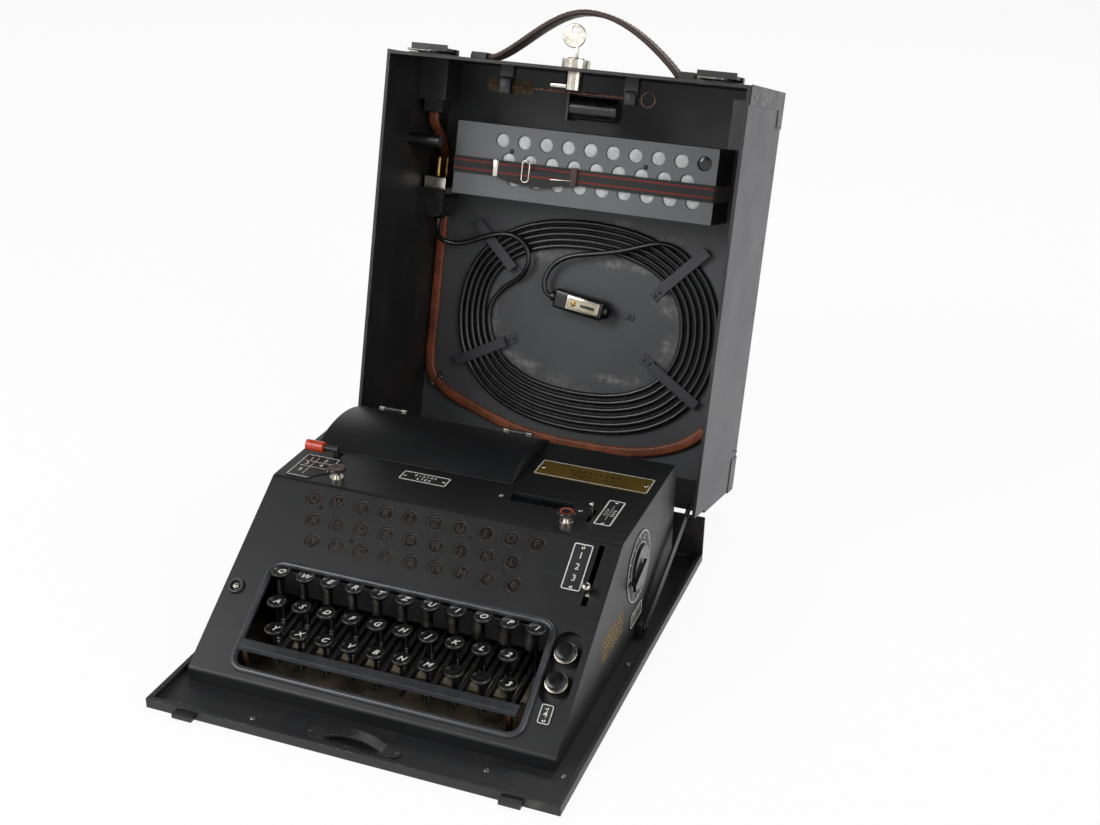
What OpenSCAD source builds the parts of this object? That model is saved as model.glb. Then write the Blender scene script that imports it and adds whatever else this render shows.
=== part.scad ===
// Rotor cipher machine standing in its open travelling case.
// Origin at the middle of the tray's underside. X to the right, Y to the rear, Z up.

/* [Travelling case] */
// Width of the case tray
case_w = 330; // [310:1:360]
// Depth of the case tray, front to rear
case_d = 368; // [350:1:400]
// Height of the tray's low ledge, which the cover closes onto
ledge_h = 8; // [7:0.5:12]
// Width of the ledge
ledge_w = 4; // [3:0.5:6]
// Thickness of the tray floor
floor_t = 3; // [2:0.5:4]
// Height of the tray's tall rear wall
rear_wall_h = 44; // [38:1:56]
// Thickness of the tray's rear wall
rear_wall_t = 1.6; // [1.2:0.1:2.5]
// Depth of the cover, from its rim to its outer face
cover_h = 145; // [140:1:180]
// Thickness of the cover's sheet
cover_t = 1.5; // [1:0.1:2.5]
// Gap from the tray's side to the cover's side
cover_inset = 2; // [1:0.5:3]
// How far the cover stands open from closed, in degrees
open_angle = 104.3; // [95:0.1:110]

/* [Case hinges] */
// Length of each hinge
hinge_len = 44; // [35:1:60]
// Distance of each hinge from the middle
hinge_x = 108; // [80:1:120]
// Radius of the knuckles
knuckle_r = 2.4; // [2.2:0.1:3]
// Radius of the hinge pin
pin_r = 1.3; // [1:0.1:1.6]
// Radial play of a pin or shaft in its bore
running_fit = 0.05; // [0.02:0.01:0.1]

/* [Machine housing] */
// Width of the housing
housing_w = 300; // [290:1:310]
// How far the housing stands to the left of the middle
housing_shift = 3; // [0:0.5:5]
// Gap from the tray's front edge to the housing
front_gap = 39; // [36:1:50]
// Depth of the housing
housing_d = 287.5; // [285:0.5:305]
// Height of the housing above the tray floor
housing_h = 110; // [106:1:118]
// Height of its upright front lip above the tray floor
lip_h = 11; // [9:0.5:14]
// Depth of the level deck behind the slope
deck_d = 147; // [140:1:155]
// Thickness of the housing's sheet
shell_t = 1.5; // [1:0.1:2]

/* [Keyboard] */
// Distance between neighbouring keys
key_pitch = 21.2; // [20:0.1:22]
// Sideways step from one row to the next
key_stagger = 7; // [6.5:0.1:7.5]
// Place of the first key of the rear row, from the housing's middle
key_x0 = -102; // [-106:0.5:-98]
// Diameter of a key cap
cap_d = 15.5; // [13:0.5:16.5]
// Height of the key caps above the slope
cap_rise = 13; // [11:0.5:16]
// How far a key's lever swings down, in degrees
key_swing = 2.8; // [2:0.1:3.2]
// Width of the keyboard opening
well_w = 233; // [230:1:240]
// Length of the keyboard opening, up the slope
well_l = 86; // [82:1:90]
// Distance from the foot of the slope to the opening
well_u = 10.5; // [9:0.5:13]

/* [Lamps] */
// Distance between neighbouring lamps
lamp_pitch = 21.3; // [20:0.1:22]
// Place of the first lamp of the upper row, from the housing's middle
lamp_x0 = -107; // [-110:0.5:-104]
// Diameter of a lamp window's hole
lamp_d = 14; // [12:0.5:15]

/* [Rotors] */
// Radius of a rotor
rotor_r = 29; // [25:0.5:30]
// Thickness of a rotor
rotor_t = 13; // [10:0.5:14]
// Width of the cover over the rotors
rotor_cover_w = 181; // [175:1:190]
// Depth of the cover over the rotors
rotor_cover_d = 89; // [84:1:92]
// Rise of its arch above the deck
rotor_cover_rise = 12; // [11:0.5:16]

/* [Remote lamp box] */
// Width of the box
box_w = 250; // [240:1:260]
// Height of the box, along the cover
box_l = 67; // [64:1:72]
// Depth of the box, from the cover's back
box_h = 60; // [40:1:62]
// Place of its lower edge along the cover
box_v = 249; // [245:1:255]

/* [Cable and straps] */
// Diameter of the mains cable
cable_d = 5; // [4.5:0.1:5.2]
// Width of the leather strap
strap_w = 10; // [8:0.5:12]
// Width of the striped web strap
web_w = 15; // [12:0.5:17]

/* [Hidden] */

// colours as photographed
black_paint = [0.13, 0.13, 0.135];
deep_black = [0.06, 0.06, 0.065];
steel = [0.62, 0.62, 0.6];
chrome = [0.82, 0.81, 0.78];
brass = [0.72, 0.56, 0.25];
copper = [0.62, 0.36, 0.24];
ivory = [0.86, 0.85, 0.8];
leather = [0.42, 0.22, 0.16];
signal_red = [0.62, 0.15, 0.1];
ochre = [0.55, 0.42, 0.05];

$fn = 48;

// ---- the case's frame ----
hinge_y = case_d / 2 + knuckle_r + 0.1;
hinge_z = rear_wall_h;
skirt = rear_wall_h - ledge_h;           // how far the rim lies below the hinge line
cover_w = case_w - 2 * cover_inset;
cover_v0 = knuckle_r + 0.1;              // outer face of the cover's rear wall, from the hinge line
cover_v1 = cover_v0 + case_d;            // outer face of its front wall
back_w = cover_h - cover_t;              // inner face of the cover's back
wall_x = cover_w / 2 - cover_t;          // inner faces of its side walls

// ---- the housing's profile: points are [y, z] ----
hx = -housing_shift;
front_y = -case_d / 2 + front_gap;
rear_y = front_y + housing_d;
foot_z = floor_t;
lip_z = foot_z + lip_h;
deck_z = foot_z + housing_h;
crease_y = rear_y - deck_d;
slope_rise = deck_z - lip_z;
slope_run = crease_y - front_y;
slope_l = sqrt(slope_rise * slope_rise + slope_run * slope_run);
slope_a = atan2(slope_rise, slope_run);
inner_x0 = hx - housing_w / 2 + shell_t;
inner_x1 = hx + housing_w / 2 - shell_t;

function slope_y(u, off = 0) = front_y + u * cos(slope_a) - off * sin(slope_a);
function slope_z(u, off = 0) = lip_z + u * sin(slope_a) + off * cos(slope_a);

// a corner b between a and c, rounded to radius r
function unit(v) = v / norm(v);
function bend(a, b, c, r, n = 5) =
    let (u = unit(a - b), w = unit(c - b), half = acos(u * w) / 2,
         ctr = b + unit(u + w) * r / sin(half),
         p = b + u * r / tan(half) - ctr, q = b + w * r / tan(half) - ctr,
         a0 = atan2(p[1], p[0]), turn = atan2(q[1], q[0]) - a0,
         sweep = turn > 180 ? turn - 360 : turn < -180 ? turn + 360 : turn)
    [for (i = [0:n]) ctr + r * [cos(a0 + sweep * i / n), sin(a0 + sweep * i / n)]];
function profile(t, z0) =
    let (k = 1 / cos(slope_a), m = tan(slope_a),
         a = [front_y + t, z0], b = [front_y + t, lip_z + m * t - t * k],
         c = [front_y + (slope_rise - t + t * k) / m, deck_z - t],
         d = [rear_y - t, deck_z - t], e = [rear_y - t, z0])
    concat([a], bend(a, b, c, 4 - t), bend(b, c, d, 7 - t), bend(c, d, e, 5 - t), [e]);

// ---- keys: rows are [count, place up the slope, first key] ----
key_rows = [[11, 88, 0], [10, 63.6, 1], [10, 42.3, 2]];
pivot_y = crease_y - 16;
pivot_z = foot_z + 32;
pivot_r = 3;
lever_t = 3;
lever_h = 8;
lever_drop = 9;                          // degrees that the levers slope down to the front
function key_x(row, n) = hx + key_x0 + key_stagger * row + key_pitch * (n - 1);
function cap_y(row) = slope_y(key_rows[row][1], cap_rise);
function cap_z(row) = slope_z(key_rows[row][1], cap_rise);

// ---- lamps ----
lamp_rows = [[10, slope_l - 13.4], [9, slope_l - 31.9], [9, slope_l - 49.9]];
lamp_step = 7;

// ---- deck and slope fittings, from the housing's middle and the crease or the slope's foot ----
selector = [134.8, 129];                 // the power selector at rest, 10 above the foot of its slot
selector_slot = [117, 168];
selector_travel = 31;
terminal_x = 133.3;
terminals = [78, 54.6];                  // places up the slope
recess_l = 58;
recess_w = 23;
recess_u = 66.4;
recess_h = 7;
socket = [-139.4, 71.7];
plunger_left = [-98, 11.5];
plunger_right = [99, 14.5];
plunger_r = 2.8;
plunger_travel = 4;
counter_at = [69, 40.5];
counter_win = [52, 14];
lever_at = [113, 34];
release_x = -117;
release_d = 51.5;
dial = [44.5, 43];                       // behind the crease and below the deck
dial_r = 18;
dial_ring_r = 30;
drum_y = rear_y - 45;
drum_z = deck_z - 22;
drum_shaft_r = 4;
drum_x0 = hx - 144.5;                    // faces of the drum's two bearing cheeks
drum_x1 = drum_x0 + rotor_cover_w;
bay = [rotor_cover_w - 8, rotor_cover_d - 9];
rotor_cover_y = rear_y - rotor_cover_d;

// ---- fittings of the cover: x, then along the cover from the hinge, then from the rim ----
latch_x = 130;
latch_wd = 25;                           // the latches' height above the rim
lock_w = 36;
lock_r = 8;
lock_collar_r = 12.5;
handle_w = 60;
handle_x = 86;
handle_rise = 46;
handle_strap = [20, 5];
stay_pin_v = 9;
stay_pin_w = 14;
stay_pin_r = 1;
stay_foot = [151, 48, 10];
stay_r = 2;
stay_slot = [118.8, 130.1];               // reach of the pin from the foot, over the cover's swing
stay_x = [152.6, 154.6];
coil_w = back_w - cable_d / 2 - 0.2;
lead_w = coil_w - cable_d - 2;

// place children, drawn with y against v and z up from the rim, on the open cover
module in_cover()
    translate([0, hinge_y, hinge_z]) rotate([-open_angle, 0, 0]) translate([0, 0, -skirt]) children();
module cbox(x0, x1, v0, v1, w0, w1)
    translate([x0, -v1, w0]) cube([x1 - x0, v1 - v0, w1 - w0]);
module on_slope() translate([hx, front_y, lip_z]) rotate([slope_a, 0, 0]) children();
module on_deck() translate([hx, crease_y, deck_z]) children();
module along_x(len) rotate([90, 0, 90]) linear_extrude(len) children();
module rod_x(x0, x1, r, y, z) translate([x0, y, z]) rotate([0, 90, 0]) cylinder(h = x1 - x0, r = r);
module rounded(w, h, r) {
    square([w - 2 * r, h], center = true);
    square([w, h - 2 * r], center = true);
    for (x = [-1, 1], y = [-1, 1]) translate([x * (w / 2 - r), y * (h / 2 - r)]) circle(r);
}
module plate(w, h, t, r = 1.6) linear_extrude(t) rounded(w, h, r);
module screw(r = 1.6, h = 1) rotate_extrude() polygon([[0, 0], [r, 0], [r, h * 0.4], [r * 0.6, h], [0, h]]);

// a tube of n sides along points, closed at both ends
function tube_dir(p, i) = unit(p[min(i + 1, len(p) - 1)] - p[max(i - 1, 0)]);
function tube_ring(p, i, rx, rz, n) =
    let (d = tube_dir(p, i), side = unit(cross(d, [0, 0.02, 1])), up = cross(side, d))
    [for (k = [0:n - 1]) p[i] + side * rx * cos(360 * k / n) + up * rz * sin(360 * k / n)];
module tube(p, rx, rz, n) {
    m = len(p);
    pts = [for (i = [0:m - 1]) each tube_ring(p, i, rx, rz, n)];
    sides = [for (i = [0:m - 2], k = [0:n - 1]) let (a = i * n + k, b = i * n + (k + 1) % n)
        each [[a, b, a + n], [b, b + n, a + n]]];
    ends = [for (k = [1:n - 2]) each [[0, k + 1, k], [(m - 1) * n, (m - 1) * n + k, (m - 1) * n + k + 1]]];
    polyhedron(points = pts, faces = concat(sides, ends), convexity = 8);
}

// ---- case ----
module knuckles(own, z_up) {
    seg = hinge_len / 5;
    for (s = [-1, 1], k = own)
        translate([s * hinge_x - hinge_len / 2 + k * seg + 0.15, 0, 0]) difference() {
            union() {
                rod_x(0, seg - 0.3, knuckle_r, 0, 0);
                translate([0, -knuckle_r - 0.1, z_up ? 0 : -4]) cube([seg - 0.3, 1.2, 4]);
            }
            rod_x(-1, seg + 1, pin_r + running_fit, 0, 0);
        }
}
module base_tray() color(black_paint) {
    difference() {
        translate([-case_w / 2, -case_d / 2, 0]) cube([case_w, case_d, ledge_h]);
        translate([-case_w / 2 + ledge_w, -case_d / 2 + ledge_w, floor_t])
            cube([case_w - 2 * ledge_w, case_d - ledge_w - rear_wall_t, ledge_h]);
    }
    translate([-case_w / 2, case_d / 2 - rear_wall_t, 0]) cube([case_w, rear_wall_t, rear_wall_h]);
    for (s = [-1, 1])
        translate([s * hinge_x - hinge_len / 2, case_d / 2, rear_wall_h - 20])
            cube([hinge_len, 1.2, 20 - knuckle_r - 0.6]);
    translate([0, hinge_y, hinge_z]) knuckles([0, 2, 4], false);
}
module tray_fittings() {
    color(steel) for (s = [-1, 1]) translate([s * latch_x, -case_d / 2, 0]) {
        translate([-8.3, -7, 2.3]) cube([16.6, 7, 3.7]);
        for (x = [-12, -3]) translate([x, 8, floor_t]) screw(1.8, 1);
    }
    // arched lock staple on its foot plate
    staple_r = 46;
    staple_top = 9;
    translate([0, -case_d / 2 + 16, floor_t]) {
        color(deep_black) plate(76, 14, 1.5, 6.9);
        color(steel) intersection() {
            translate([0, 5, staple_top - staple_r]) rotate([90, 0, 0]) difference() {
                cylinder(h = 10, r = staple_r);
                translate([0, 0, -1]) cylinder(h = 12, r = staple_r - 2.5);
            }
            translate([-40, -6, 1.5]) cube([80, 12, 30]);
        }
        color(steel) for (s = [-1, 1]) translate([s * 34.5, 0, 1.5]) screw(2.2, 1.4);
    }
    color(steel) for (p = [[-82, 14], [101, 23], [154, 37], [-157, 60], [154, 185], [-157, 240]])
        translate([p[0], -case_d / 2 + p[1], floor_t]) screw(2.4, 1.2);
    // foot and pin of the lid stay
    color(steel) translate([stay_foot[0], stay_foot[1], 0]) {
        translate([-3.5, -6, floor_t]) cube([4.5, 12, stay_foot[2] + 4 - floor_t]);
        rod_x(0, 5, stay_r, 0, stay_foot[2]);
    }
    color(steel) for (s = [-1, 1])
        rod_x(s * hinge_x - hinge_len / 2, s * hinge_x + hinge_len / 2, pin_r, hinge_y, hinge_z);
}
// the stay's line at rest, from its foot to the pin on the open cover
stay_dy = -stay_pin_v;
stay_dz = stay_pin_w - skirt;
stay_end = [hinge_y + stay_dy * cos(open_angle) + stay_dz * sin(open_angle),
            hinge_z - stay_dy * sin(open_angle) + stay_dz * cos(open_angle)];
stay_reach = stay_end - [stay_foot[1], stay_foot[2]];
stay_a = atan2(stay_reach[1], stay_reach[0]);
stay_l = norm(stay_reach);
module lid_stay() color(black_paint)
    translate([stay_x[0], stay_foot[1], stay_foot[2]]) rotate([stay_a, 0, 0])
        along_x(stay_x[1] - stay_x[0]) difference() {
            union() {
                circle(4.8);
                translate([stay_slot[1] - 1.1, 0]) circle(4.8);
                translate([0, -4.8]) square([stay_slot[1] - 1.1, 9.6]);
            }
            circle(stay_r + running_fit);
            translate([stay_slot[0] - stay_pin_r - 0.3, -2.9])
                square([stay_slot[1] - stay_slot[0] + 2 * stay_pin_r + 0.6, 5.8]);
        }
module cover_shell() color(black_paint) in_cover() {
    rim = 3;
    difference() {
        cbox(-cover_w / 2, cover_w / 2, cover_v0, cover_v1, 0.1, cover_h);
        cbox(-wall_x, wall_x, cover_v0 + cover_t, cover_v1 - cover_t, 4, back_w);
        cbox(-cover_w / 2 + rim, cover_w / 2 - rim, cover_v0 + cover_t, cover_v1 - rim, -1, 5);
        cbox(-cover_w, cover_w, -1, cover_v0 + rear_wall_t + 1.4, -1, skirt + 0.3);
        translate([0, -cover_v1 - 1, lock_w]) rotate([-90, 0, 0]) cylinder(h = 10, r = lock_r + 0.3);
    }
    for (s = [-1, 1])
        cbox(s * hinge_x - hinge_len / 2, s * hinge_x + hinge_len / 2, cover_v0 - 1.2, cover_v0,
             skirt + knuckle_r + 0.6, skirt + 20);
    translate([0, 0, skirt]) knuckles([1, 3], true);
}
latch_v = cover_v1 + 4;                  // line of the latch levers' pins
latch_pin_w = latch_wd + 11;
latch_half = 17;
loop_half = 9.8;                         // the wire loop's uprights, from the latch's middle
loop_v = cover_v1 + 2.3;
loop_top = latch_wd + 7;
loop_foot = 1 - ledge_h;                 // its bottom bar hooks under the tray's catch
module latch_mount(s) translate([s * latch_x, 0, 0]) {
    cbox(-19, 19, cover_v1, cover_v1 + 1.2, latch_wd - 10, latch_wd + 14);
    for (e = [-1, 1]) translate([e * (latch_half + 1), 0, 0])
        cbox(-0.6, 0.6, cover_v1, latch_v + 2.2, latch_pin_w - 3, latch_pin_w + 3);
    rod_x(-latch_half - 1.2, latch_half + 1.2, 1.5, -latch_v, latch_pin_w);
}
module latch(s) in_cover() translate([s * latch_x, 0, 0]) {
    color(deep_black) difference() {
        union() {
            rod_x(-latch_half, latch_half, 2.6, -latch_v, latch_pin_w);
            cbox(-latch_half, latch_half, latch_v - 0.6, latch_v + 2.4, latch_wd - 9, latch_pin_w);
            cbox(-latch_half, latch_half, latch_v - 0.6, latch_v + 5, latch_wd - 10.5, latch_wd - 8.5);
            // lugs that hold the wire loop behind the lever
            for (e = [-1, 1]) translate([e * loop_half, 0, 0])
                cbox(-1.6, 1.6, loop_v - 0.7, latch_v, loop_top - 3, loop_top);
        }
        rod_x(-latch_half - 1, latch_half + 1, 1.5 + running_fit, -latch_v, latch_pin_w);
    }
    color(steel) for (e = [-1, 1]) translate([e * loop_half, -loop_v, loop_foot])
        cylinder(h = loop_top - 1.5 - loop_foot, r = 0.9);
    color(steel) rod_x(-loop_half, loop_half, 0.75, -loop_v, loop_foot);
}
module left_latch() latch(-1);
module right_latch() latch(1);
module leaf_clip(x, v, a) translate([x, -v, 0]) rotate([0, 0, a]) color(deep_black) {
    translate([-14, -5, back_w - 1]) cube([13, 10, 1]);
    translate([-2, -5, lead_w + 3.4]) cube([1, 10, back_w - lead_w - 3.4]);
    translate([-2, -5, lead_w + 3.4]) cube([58, 10, 1]);
    for (d = [-11, -4.6]) translate([d, 0, back_w - 1]) rotate([180, 0, 0]) screw(1.8, 1.2);
}
brush_at = [-7, 351, 50];
brush_len = 156;
canister = [8, 338.5, 80];
module brush_clip(x, r)
    cbox(x - 6, x + 6, brush_at[1] + r, cover_v1 - cover_t, brush_at[2] - 4, brush_at[2] + 4);
connector_at = [-1, 156, back_w - 11];
module cover_fittings() in_cover() {
    color(deep_black) for (s = [-1, 1]) latch_mount(s);
    // bridges that hold the handle's ends
    color(steel) for (s = [-1, 1]) translate([s * (handle_x + 10), 0, 0]) difference() {
        cbox(-7, 7, cover_v1, cover_v1 + handle_strap[1] + 2.2, handle_w - 13, handle_w + 13);
        cbox(-8, 8, cover_v1 + 0.8, cover_v1 + handle_strap[1] + 1.4, handle_w - 10.3, handle_w + 10.3);
    }
    color(chrome) translate([0, -cover_v1, lock_w]) rotate([90, 0, 0]) difference() {
        cylinder(h = 8, r = lock_collar_r);
        translate([0, 0, -1]) cylinder(h = 10, r = lock_r + running_fit);
    }
    // strap bracket in the left corner and locking plate on the right wall
    color(deep_black) {
        cbox(-wall_x, -wall_x + 27, 332, cover_v1 - cover_t, 70, 104);
        cbox(-wall_x + 4, -wall_x + 22, 321, 332, 76, 98);
        cbox(wall_x - 13, wall_x, 318, 358, 8, 26);
    }
    color(deep_black) rod_x(-wall_x, -wall_x + 31, 5.8, -295, 60);
    // cradle under the mains plug
    color(deep_black) translate([-wall_x, -250, 86]) linear_extrude(6.6) {
        square([26, 19]);
        square([19, 26]);
        translate([19, 19]) circle(7);
    }
    leaf_clip(-78, 181.5, -136);
    leaf_clip(74, 181, -46.5);
    leaf_clip(-79, 107, 152);
    leaf_clip(73, 106, 32);
    color(steel) translate([connector_at[0], -connector_at[1], 0]) rotate([0, 0, 8]) {
        translate([-12, -7, back_w - 2]) cube([24, 14, 2]);
        translate([12, -3, back_w - 1]) cube([38, 6, 1]);
        translate([45, 0, back_w - 1]) rotate([180, 0, 0]) screw(2, 1.3);
    }
    color(deep_black) {
        brush_clip(brush_at[0] - brush_len / 2 + 18, 7.5);
        brush_clip(brush_at[0] + brush_len / 2 - 22, 1.55);
        rod_x(canister[0] - 22, canister[0] + 22, 10.5, -canister[1], canister[2]);
        cbox(canister[0] - 24, canister[0] - 22, canister[1] - 12, cover_v1 - cover_t,
             canister[2] - 12, canister[2] + 12);
    }
    // corner plates on the outside
    corner = 32;
    color(deep_black) for (s = [-1, 1]) {
        x0 = s > 0 ? cover_w / 2 : -cover_w / 2 - 0.8;
        cx0 = s > 0 ? cover_w / 2 - corner : -cover_w / 2 - 0.8;
        for (v0 = [cover_v0 - 0.8, cover_v1 - corner]) {
            cbox(x0, x0 + 0.8, v0, v0 + corner + 0.8, cover_h - 20, cover_h + 0.8);
            cbox(cx0, cx0 + corner + 0.8, v0, v0 + corner + 0.8, cover_h, cover_h + 0.8);
        }
        cbox(x0, x0 + 0.8, cover_v1 - 15.5, cover_v1 + 0.8, 2, cover_h - 19);
        cbox(cx0, cx0 + corner + 0.8, cover_v1, cover_v1 + 0.8, cover_h - 20, cover_h + 0.8);
        cbox(cx0, cx0 + corner + 0.8, cover_v0 - 0.8, cover_v0, cover_h - 20, cover_h + 0.8);
    }
    color(steel) rod_x(stay_x[0] - 1, wall_x, stay_pin_r, -stay_pin_v, stay_pin_w);
}
function arch_v(x) =
    cover_v1 + 3.6 + handle_rise * pow(max(0, cos(90 * min(1, abs(x) / handle_x))), x < 0 ? 1.4 : 0.9);
module carry_handle() color(leather) in_cover()
    translate([0, 0, handle_w - handle_strap[0] / 2]) linear_extrude(handle_strap[0]) {
        xs = [for (i = [-12:12]) handle_x * sin(90 * i / 12)];
        half = handle_strap[1] / 2 - 0.1;
        mid = [for (x = xs) [x, -arch_v(x)]];
        ends = concat([[-handle_x - 20, mid[0][1]]], mid, [[handle_x + 20, mid[24][1]]]);
        m = len(ends) - 1;
        side = [for (i = [0:m]) let (d = unit(ends[min(i + 1, m)] - ends[max(i - 1, 0)])) [-d[1], d[0]]];
        polygon(concat([for (i = [0:m]) ends[i] + side[i] * half],
                       [for (i = [m:-1:0]) ends[i] - side[i] * half]));
    }
module case_lock() in_cover() translate([0, -cover_v1, lock_w]) rotate([90, 0, 0]) {
    color(chrome) translate([0, 0, -18]) cylinder(h = 27.5, r = lock_r);
    color(brass) translate([-20, -5.5, -17]) cube([24, 11, 4]);
    // key: shank and round bow with its ring hole
    color(brass) {
        translate([-1.2, -1.2, 9]) cube([2.4, 2.4, 11]);
        translate([-4, 1.2, 28]) rotate([90, 0, 0]) difference() {
            cylinder(h = 2.4, r = 10.5);
            translate([0, 5, -1]) cylinder(h = 5, r = 3);
        }
    }
}
box_w0 = back_w - box_h;
module remote_lamp_box() in_cover() {
    row = [302, 284.7, 267.4];
    color(deep_black) difference() {
        cbox(-box_w / 2, box_w / 2, box_v, box_v + box_l, box_w0, back_w);
        cbox(-box_w / 2 + 1.5, box_w / 2 - 1.5, box_v + 1.5, box_v + box_l - 1.5, box_w0 + 1.5, back_w + 1);
        for (r = [0:2], k = [0:lamp_rows[r][0] - 1])
            translate([-79 + 7.3 * r + lamp_pitch * k, -row[r], box_w0 - 1]) cylinder(h = 4, r = 6.5);
    }
    color(ivory) cbox(-96, 124 - 1, box_v + 4, box_v + box_l - 4, box_w0 + 1.5, box_w0 + 4);
}
// route of the leather strap: x, along the cover, from the rim
strap_route = [[-152, 320.7, 88], [-152, 313, 89], [-152.5, 303, 104], [-153.5, 291, 121], [-155, 276, 132],
    [-156, 262, 138], [-156, 246, 140.6], [-156, 215, 141], [-156, 180, 141], [-156, 140, 141],
    [-156, 105, 141], [-156, 84, 140.5], [-153, 67, 140], [-140, 53, 140], [-124, 44.5, 140.5],
    [-104, 37.5, 141], [-80, 29, 141], [-55, 23, 141], [-25, 19, 141], [10, 18, 141], [45, 19, 141],
    [75, 23, 141], [100, 31, 141], [118, 41, 141], [131, 53, 141]];
strap_t = 4;
web_v = box_v + 20;
module stowage_straps() in_cover() {
    color(leather) tube([for (p = strap_route) [p[0], -p[1], p[2]]], strap_w / 2, strap_t / 2, 8);
    // metal slide round the strap
    color(steel) translate([-146.5, -60, 140]) rotate([0, 0, 47.1]) rotate([90, 0, 90])
        linear_extrude(8, center = true) difference() {
            square([strap_w + 2.4, strap_t + 2.4], center = true);
            square([strap_w + 0.8, strap_t + 0.8], center = true);
        }
    color(deep_black) translate([0, -web_v - web_w, 0]) rotate([-90, 0, 0]) mirror([0, 1, 0])
        linear_extrude(web_w) difference() {
            translate([-box_w / 2 - 1.8, box_w0 - 1.8]) square([box_w + 3.6, box_h + 1.8]);
            translate([-box_w / 2 - 0.3, box_w0 - 0.3]) square([box_w + 0.6, box_h + 5]);
        }
    // buckle frame on the web strap
    color(chrome) translate([-52, -web_v - web_w / 2, box_w0 - 4]) linear_extrude(1.8) difference() {
        rounded(7, web_w + 5, 2);
        rounded(4.4, web_w + 1.6, 1.2);
    }
}
plug = [-wall_x + 13.5, 224, 111];
module cable_ends() in_cover() {
    // mains plug: body, face plate and two pins
    color(deep_black) cbox(plug[0] - 12, plug[0] + 12, plug[1], plug[1] + 38, plug[2] - 18, plug[2] + 18);
    color(brass) for (s = [-1, 1]) translate([plug[0], -plug[1] - 38, plug[2] + s * 9.5])
        rotate([90, 0, 0]) cylinder(h = 19, r = 2.4);
    // connector with its ivory insert
    translate([connector_at[0], -connector_at[1], connector_at[2]]) rotate([0, 0, 8]) {
        color(deep_black) translate([-28, -9.5, -8]) cube([52, 19, 17]);
        color(deep_black) translate([24, 0, 0]) rotate([0, 90, 0]) cylinder(h = 5, r1 = 7.5, r2 = 4);
        color(ivory) translate([-10, -5, -9]) cube([30, 10, 1]);
    }
}
// ---- mains cable: lead from the plug, flat coil, lead to the connector ----
coil_mid_in = [-2, 138];
coil_mid_out = [0, 134.5];
coil_half_in = [96, 67.5];
coil_half_out = [131, 103];
coil_loops = 134;                        // rings of the coil, in twenty-fourths of a turn
coil_start = 188;
coil_rings = 24;
coil_power = 0.86;                       // below 1, the loops square off a little
function bulge(c) = sign(c) * pow(abs(c), coil_power);
function coil_at(i) =
    let (a = coil_start + 360 * i / coil_rings, f = i / coil_loops,
         mid = coil_mid_in + (coil_mid_out - coil_mid_in) * f,
         half = coil_half_in + (coil_half_out - coil_half_in) * f)
    [mid[0] + half[0] * bulge(cos(a)), mid[1] + half[1] * bulge(sin(a)), coil_w];
coil_points = [for (i = [0:coil_loops]) coil_at(i)];
plug_lead = [[-148, 223.8, 111], [-148, 217, 111], [-149, 209, 114], [-149, 202, 120.5], [-142, 198, 127.5],
    [-133, 198, 132], [-124, 200.5, lead_w], [-107, 207.5, lead_w], [-92, 212, lead_w], [-80, 212.5, lead_w],
    [-70.5, 209, lead_w], [-64, 203, lead_w], [-60.5, 195, lead_w], [-60.5, 187, 134.4],
    [-63.5, 179, 135.8], [-69, 172, 137.6], [-77, 166, 139.4], [-85, 159.5, 140.5], [-91.5, 152, coil_w],
    [-95.5, 144, coil_w], [-97.5, 136, coil_w]];
connector_lead = [[99.5, 207.6, coil_w], [91.5, 214.8, 140.6], [84.5, 219.3, 138.6], [77, 222.4, 136.2],
    [70, 223.4, 134.4], [62, 222, lead_w], [54, 219.5, lead_w], [40, 214.5, lead_w], [27, 210.5, lead_w],
    [10, 206.5, lead_w], [-5, 203.5, lead_w], [-18, 200, lead_w], [-28, 195, lead_w], [-36, 187.5, lead_w],
    [-40.5, 178, 133.2], [-41, 169, 132.5], [-37, 161.7, 132.5], [-29.3, 160, 132.5]];
cable_points = concat(plug_lead, coil_points, connector_lead);
function gap_between(p, i, j) = norm(p[i] - p[j]) - cable_d;
cable_gap = min([for (i = [0:3:len(cable_points) - 1], j = [i + 12:len(cable_points) - 1])
    gap_between(cable_points, i, j)]);
function run(p, i = 0) = i >= len(p) - 1 ? 0 : norm(p[i + 1] - p[i]) + run(p, i + 1);
module mains_cable() color(deep_black) in_cover() {
    echo(least_gap_of_the_cable_to_itself = cable_gap, cable_length = run(cable_points));
    tube([for (p = cable_points) [p[0], -p[1], p[2]]], cable_d / 2, cable_d / 2, 6);
}
// ---- brush: a twisted wire with a ring of bristles at each step ----
bristle_rows = 42;
bristles_round = 8;
module cleaning_brush() in_cover() translate([brush_at[0], -brush_at[1], brush_at[2]]) {
    color(steel) {
        rod_x(-brush_len / 2, brush_len / 2 - 14, 1.5, 0, 0);
        translate([brush_len / 2 - 7, 0, 0]) rotate([0, 0, 0]) rotate_extrude()
            translate([6.2, 0]) circle(0.9);
        translate([brush_len / 2 - 15, -0.9, -0.9]) cube([2.5, 1.8, 1.8]);
    }
    // each bristle is a three-sided spike, rooted in the wire's core
    color(brass) {
        rod_x(-brush_len / 2, -brush_len / 2 + 44, 2.2, 0, 0);
        for (i = [0:bristle_rows - 1], k = [0:bristles_round - 1])
            translate([-brush_len / 2 + 1.2 + i, 0, 0])
                rotate([360 * (k + (i % 2) / 2) / bristles_round + 4 * i, 0, 0])
                    translate([0, 0, 1.6]) cylinder(h = 5.6, r = 0.33, $fn = 3);
    }
}

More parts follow.
